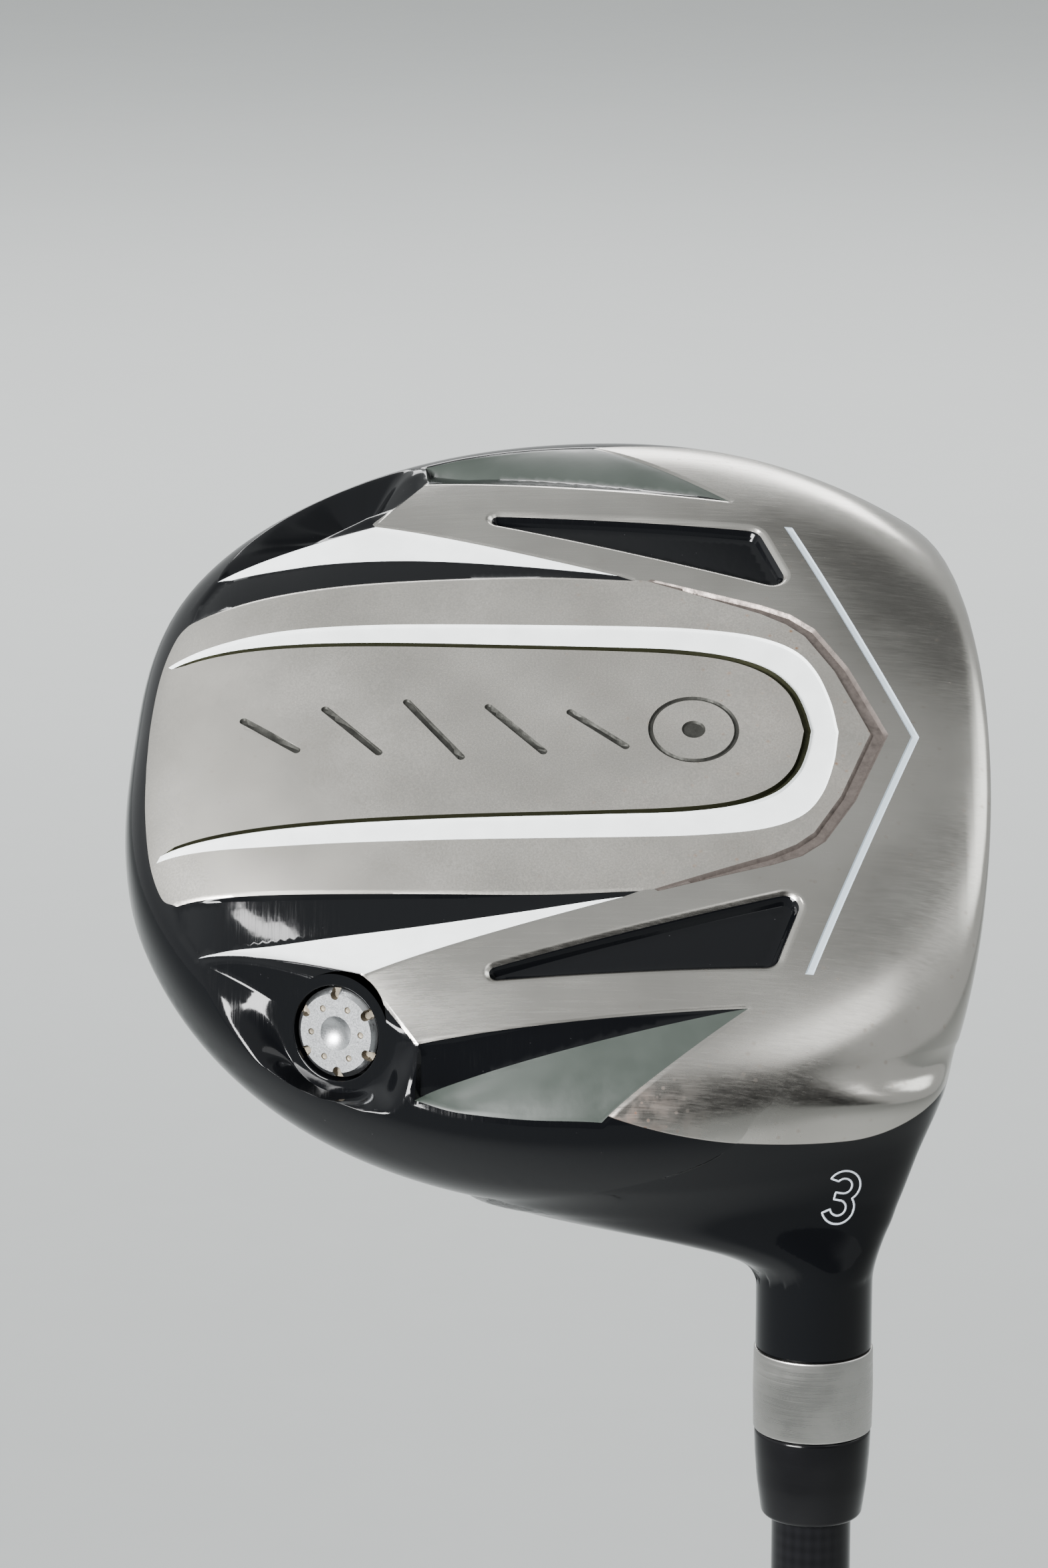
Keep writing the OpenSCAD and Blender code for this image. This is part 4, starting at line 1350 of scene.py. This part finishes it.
def build_screw():
    """The screw's head from a flat triangulation, raised by its dimple, dots, notches and chamfer."""
    turns = [2 * math.pi * k / NOTCHES for k in range(NOTCHES)]
    notches = [notch_outline(t) for t in turns]
    dots = [spun(circle((DOT_RING, 0), DOT_RADIUS, 0.12), t + math.pi / NOTCHES) for t in turns]
    rings = [circle((0, 0), r, 0.1) for r in (SCREW_R, SCREW_R - CHAMFER, DIMPLE_R)]
    walls = [sampled(q[np.linalg.norm(q, axis=1) < SCREW_R - 0.01], 0.12) for q in notches]
    points, edges = [], []
    for line, closed in [(q, True) for q in rings + dots] + [(q, False) for q in walls]:
        edges += chained(len(points), len(line), closed)
        points += list(line)
    free = [beside(q, (0.08, -0.08), True) for q in dots] + [beside(q, (0.1, -0.1), False) for q in walls]
    grid = np.arange(-SCREW_R, SCREW_R, 0.16)
    free.append(np.array([(u, v) for u in grid for v in grid if math.hypot(u, v) < SCREW_R - 0.1]))
    from_lines = distances_to(points)
    points += [p for p in np.vstack(free) if math.hypot(*p) < SCREW_R - 0.05 and from_lines(p) > 0.05]
    flat, faces = triangulated(points, edges)
    r = np.linalg.norm(flat, axis=1)
    z = -np.clip(r - (SCREW_R - CHAMFER), 0, None)
    z -= DIMPLE_DEPTH * (1 - np.clip(r / DIMPLE_R, 0, 1) ** 2)
    cut = np.max([smooth(depth_in(flat, q) / 0.1) for q in notches], axis=0)
    z = z * (1 - cut) - NOTCH_DEPTH * cut
    for q in dots:
        z -= DOT_DEPTH * smooth(depth_in(flat, q) / 0.1)
    verts = WEIGHT_AT + flat @ np.array(square_to(WEIGHT_AXIS)) + np.outer(z, WEIGHT_AXIS)
    # faces in the notches and dots, which take the darker brown material
    darker_marks = inside_any(flat[faces].mean(axis=1), notches + dots)
    ring = np.flatnonzero(np.abs(r - SCREW_R) < 1e-4)
    ring = ring[np.argsort(turn_of(flat[ring]))]
    n, under = len(ring), len(verts)
    verts = np.vstack([verts, verts[ring] - np.outer(SCREW_H + z[ring], WEIGHT_AXIS)])
    faces = faces.tolist() + [(ring[j], under + j, under + (j + 1) % n, ring[(j + 1) % n]) for j in range(n)]
    shank, more = lathe(soft_corners([(SCREW_R, -SCREW_H), (SHANK_R, -SCREW_H), (SHANK_R, -SHANK_END),
                                      (0.02, -SHANK_END)], 0.3), 64, WEIGHT_AT, WEIGHT_AXIS)
    faces += [tuple(v + len(verts) for v in f) for f in more]
    zones = np.concatenate([darker_marks, np.zeros(len(faces) - len(darker_marks))])
    return finish_mesh("screw_body", np.vstack([verts, shank]), faces, SCREW_LOOKS, zones, sharp=28)


# the notches and dots are coloured a darker brown than the screw's face
SCREW_LOOKS = [grained("weight_aluminium", (0.4, 0.41, 0.42), 0.33, 6.0, 0.006, 1.0, 0.9),
               grained("darker_notches_and_dots", (0.2, 0.175, 0.135), 0.5, 3.0, 0.01, 0.8, 0.5)]
declare(build_screw(), "weight_aluminium", "weight_screw", body="weight")


# ---------------------------------------------------------------- face insert
def build_face():
    """The insert on the face's curve, with its score lines pressed in."""
    ends = [FACE_MID[0] - SCORE_LENGTH / 2, FACE_MID[0] + SCORE_LENGTH / 2]
    scores = [bar_outline((ends[0], z), (ends[1], z), SCORE_W) for z in SCORE_HEIGHTS]
    scores = [q for q in scores if inside(q, face_edge).all()]
    points, edges, free = [], [], []
    for line in [face_edge] + [sampled(q, 0.4, closed=True) for q in scores]:
        edges += chained(len(points), len(line), True)
        points += list(line)
        rows = beside(line, (FACE_EDGE, -FACE_EDGE), True)
        free += list(rows[inside(rows, face_edge)])
    low, high = face_edge.min(0), face_edge.max(0)
    across, up = (np.arange(low[k], high[k], 0.9) for k in (0, 1))
    grid = np.array([(u, v) for u in across for v in up])
    grid = grid[depth_in(grid, face_edge) > 0.3]
    for q in scores:
        grid = grid[np.abs(depth_in(grid, q)) > 0.2]
    flat, faces = triangulated(points + free + list(grid), edges)
    faces = faces[inside(flat[faces].mean(axis=1), face_edge)]
    depth = -FACE_PROUD + FACE_LIP * np.clip(1 - depth_in(flat, face_edge) / FACE_EDGE, 0, 1)
    for q in scores:
        depth += SCORE_DEPTH * smooth(depth_in(flat, q) / 0.12)
    verts = np.column_stack([flat[:, 0], face_y(flat[:, 0], flat[:, 1]) - depth, flat[:, 1]])
    # the score lines get the engraving's near-black steel, painted shade
    scored = inside_any(flat[faces].mean(axis=1), scores)
    return finish_mesh("face_insert", verts, flipped(faces), [FACE_STEEL, DARK], scored, sharp=40)


FACE_STEEL = bare_steel("face_steel", (0.5, 0.49, 0.475), (0.55, 0.54, 0.525), 0.3, 0.8)
declare(build_face(), "face_steel", "face_plate")


# ---------------------------------------------------------------- numeral on the neck
def numeral_outline(big=1.75, small=0.85, up=1.25):
    """The figure 3 as a closed line: two open bowls of the big radius that meet at a waist."""
    waist = math.degrees(math.asin(up / big))

    def arc(height, r, turns):
        return [(r * math.cos(a), height + r * math.sin(a)) for a in np.radians(turns)]

    outer = arc(up, big, np.arange(160, -waist, -9)) + arc(-up, big, np.arange(waist, -161, -9))
    lower = arc(-up, small, np.arange(-160, 91, 15))
    upper = arc(up, small, np.arange(-90, 161, 15))
    bar = [(-0.7, small - up), (-0.7, up - small)]
    return sampled(outer + lower + bar + upper, 0.15, closed=True)


def build_numeral():
    """A painted line along the numeral's outline, laid on the neck's sole side."""
    line = numeral_outline()
    left = sideways(line, True)
    inward = unit(TO_SHAFT[:, 1])
    rings = []
    for across, up in ((-0.5, 0.01), (-0.3, 0.055), (0, 0.065), (0.3, 0.055), (0.5, 0.01)):
        u, v = spun(line + left * across * NUMERAL_W, NUMERAL_TURN).T
        places = from_shaft(np.column_stack([NUMERAL_AT[0] + u, np.full(len(u), -11.0), NUMERAL_AT[1] - v]))
        for step in range(12):
            value, direction = union_field(places)
            places = places + inward * (value / np.maximum(-(direction @ inward), 0.3))[:, None]
        rings.append(places + direction * up)
    return finish_mesh("numeral_paint", np.vstack(rings), bands(len(rings), len(line)), [NUMERAL], sharp=60)


NUMERAL = enamel("numeral_enamel", (0.4, 0.43, 0.48), 0.3)
declare(build_numeral(), "numeral_enamel", "numeral_enamel")


# ---------------------------------------------------------------- collar and ferrule
COLLAR_STEEL = turned("collar_steel", (0.46, 0.45, 0.43), 1.0, 0.27, 8.0, 0.004)
FERRULE = turned("ferrule_plastic", PLASTIC_BLACK, 0.0, 0.13, 5.0, 0.0015)

low, high = (v[2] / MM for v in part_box("hosel_collar"))
collar = [(5.4, low), (6.4, low), (6.47, (low + high) / 2), (6.4, high), (5.4, high)]
declare(round_shaft("collar", collar, 0.22, COLLAR_STEEL), "collar_steel", "hosel_collar")

low, high = (v[2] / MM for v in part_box("ferrule"))
ferrule = [(4.35, low + 0.1), (4.9, low), (5.45, low + 0.35), (5.95, low + 4), (6.2, low + 7.2),
           (6.3, high - 0.05), (4.4, high - 0.05)]
declare(round_shaft("ferrule_body", ferrule, 0.5, FERRULE, sharp=40), "ferrule_plastic", "ferrule")


# ---------------------------------------------------------------- grip
def grip_relief(turn, z):
    """Depth of the moulded pattern at a turn and a height: fields of lozenges between plain bands."""
    field = smooth((z - 14) / 3) * smooth((250 - z) / 3)
    band = 0
    for middle in GRIP_BANDS:
        field = field * smooth((np.abs(z - middle) - 5) / 2)
        band = band + smooth(1 - np.abs(np.abs(z - middle) - 4.2) / 0.5)
    u = turn * GRIP_GIRTH / (2 * math.pi)
    a, b = (u * 0.8 + z * 0.6) / LOZENGE, (u * 0.8 - z * 0.6) / LOZENGE
    ridge = np.minimum(np.abs(a - np.round(a)), np.abs(b - np.round(b)))
    return 0.35 * field * smooth((ridge - 0.07) / 0.09) + 0.3 * band


def build_grip(count=132, step=0.62):
    rows = np.arange(CAP_H, GRIP_LENGTH - 4.01, step)
    turns = np.linspace(0, 2 * math.pi, count, endpoint=False)
    r = np.interp(rows - CAP_H, *np.array(GRIP_ROWS).T)[:, None] - grip_relief(turns, rows[:, None])
    r = np.vstack([r] + [np.full((1, count), end) for end, back in GRIP_MOUTH])
    z = np.concatenate([rows, [GRIP_LENGTH - back for end, back in GRIP_MOUTH]])[:, None]
    places = np.stack(np.broadcast_arrays(r * np.cos(turns), r * np.sin(turns), CLUB_LENGTH - z), -1)
    return finish_mesh("grip_sleeve", from_shaft(places.reshape(-1, 3)), bands(len(z), count),
                       [GRIP_RUBBER], sharp=45)


GRIP_RUBBER = grained("grip_rubber", (0.018, 0.018, 0.019), 0.62, 3.0, 0.05, dark=0.7)
declare(build_grip(), "grip_rubber", "grip")
cap = [(1.5, CAP_H - 0.1), (1.5, 0), (4.2, 0), (4.6, 0.35), (5.0, 0.35), (5.4, 0), (14, 0), (15.5, 1.4),
       (15.5, 2.6), (13.5, CAP_H), (7, CAP_H)]
declare(round_shaft("grip_end", cap, 0.5, GRIP_RUBBER, sharp=35), "grip_rubber", "grip_cap")

# ---------------------------------------------------------------- CAD pieces that keep their shape
KEPT = {
    "shaft": woven_lacquer("shaft_graphite"),
    "weight_washer": grained("washer_rubber", (0.02, 0.02, 0.02), 0.7, 4.0, 0.02),
    "hosel_plug": grained("plug_foam", (0.7, 0.45, 0.2), 0.85, 2.5, 0.1),
    "tip_epoxy": grained("set_epoxy", (0.7, 0.62, 0.4), 0.25, 1.5, 0.01),
    "rattle_glue": grained("hot_melt", (0.8, 0.74, 0.55), 0.35, 0.8, 0.03, dark=0.85),
    "grip_tape": grained("tape_paper", (0.75, 0.68, 0.5), 0.8, 2.0, 0.03),
}
for node, material in KEPT.items():
    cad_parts[node].data.materials.clear()
    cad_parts[node].data.materials.append(material)

# ---------------------------------------------------------------- floor, camera and lights
bpy.ops.mesh.primitive_plane_add(size=FLOOR_SIZE, location=(0, 0, FLOOR_Z))
floor = bpy.context.object
floor.name = "floor"
floor.data.materials.append(grained("floor_paper", (0.47, 0.484, 0.48), 0.9, 0.02, 0.5, dark=0.985))

camera = bpy.data.objects.new("camera", bpy.data.cameras.new("camera"))
camera.data.lens = CAMERA_LENS
camera.location = CAMERA_AT
camera.rotation_euler = Euler((math.radians(CAMERA_PITCH), 0, 0))
bpy.context.scene.collection.objects.link(camera)
bpy.context.scene.camera = camera

for k, (aim, way, far, width, height, watts) in enumerate(LAMPS):
    lamp = bpy.data.lights.new(f"softbox_{k}", "AREA")
    lamp.shape = "RECTANGLE"
    lamp.size, lamp.size_y = width, height
    lamp.energy = watts
    softbox = bpy.data.objects.new(lamp.name, lamp)
    direction = Vector(way).normalized()
    softbox.location = Vector(aim) + direction * far
    softbox.rotation_euler = direction.to_track_quat("Z", "Y").to_euler()
    bpy.context.scene.collection.objects.link(softbox)

world = bpy.data.worlds.new("studio")
world.use_nodes = True
bpy.context.scene.world = world
tent = Nodes(world.node_tree)
way = tent.node("TexCoord", {}).outputs["Generated"]
strength = TENT_STRENGTH
for direction, inner, outer, factor in OPENINGS:
    dot = tent.node("VectorMath", {0: way, 1: Vector(direction).normalized()}, operation="DOT_PRODUCT")
    ends = (math.cos(math.radians(angle)) for angle in (outer, inner))
    patch = tent.span(dot.outputs["Value"], *ends, 1, factor, interpolation_type="SMOOTHSTEP")
    strength = tent.times(strength, patch)
background = world.node_tree.nodes["Background"]
tent.feed(background.inputs["Color"], (*TENT_COLOUR, 1))
tent.feed(background.inputs["Strength"], strength)
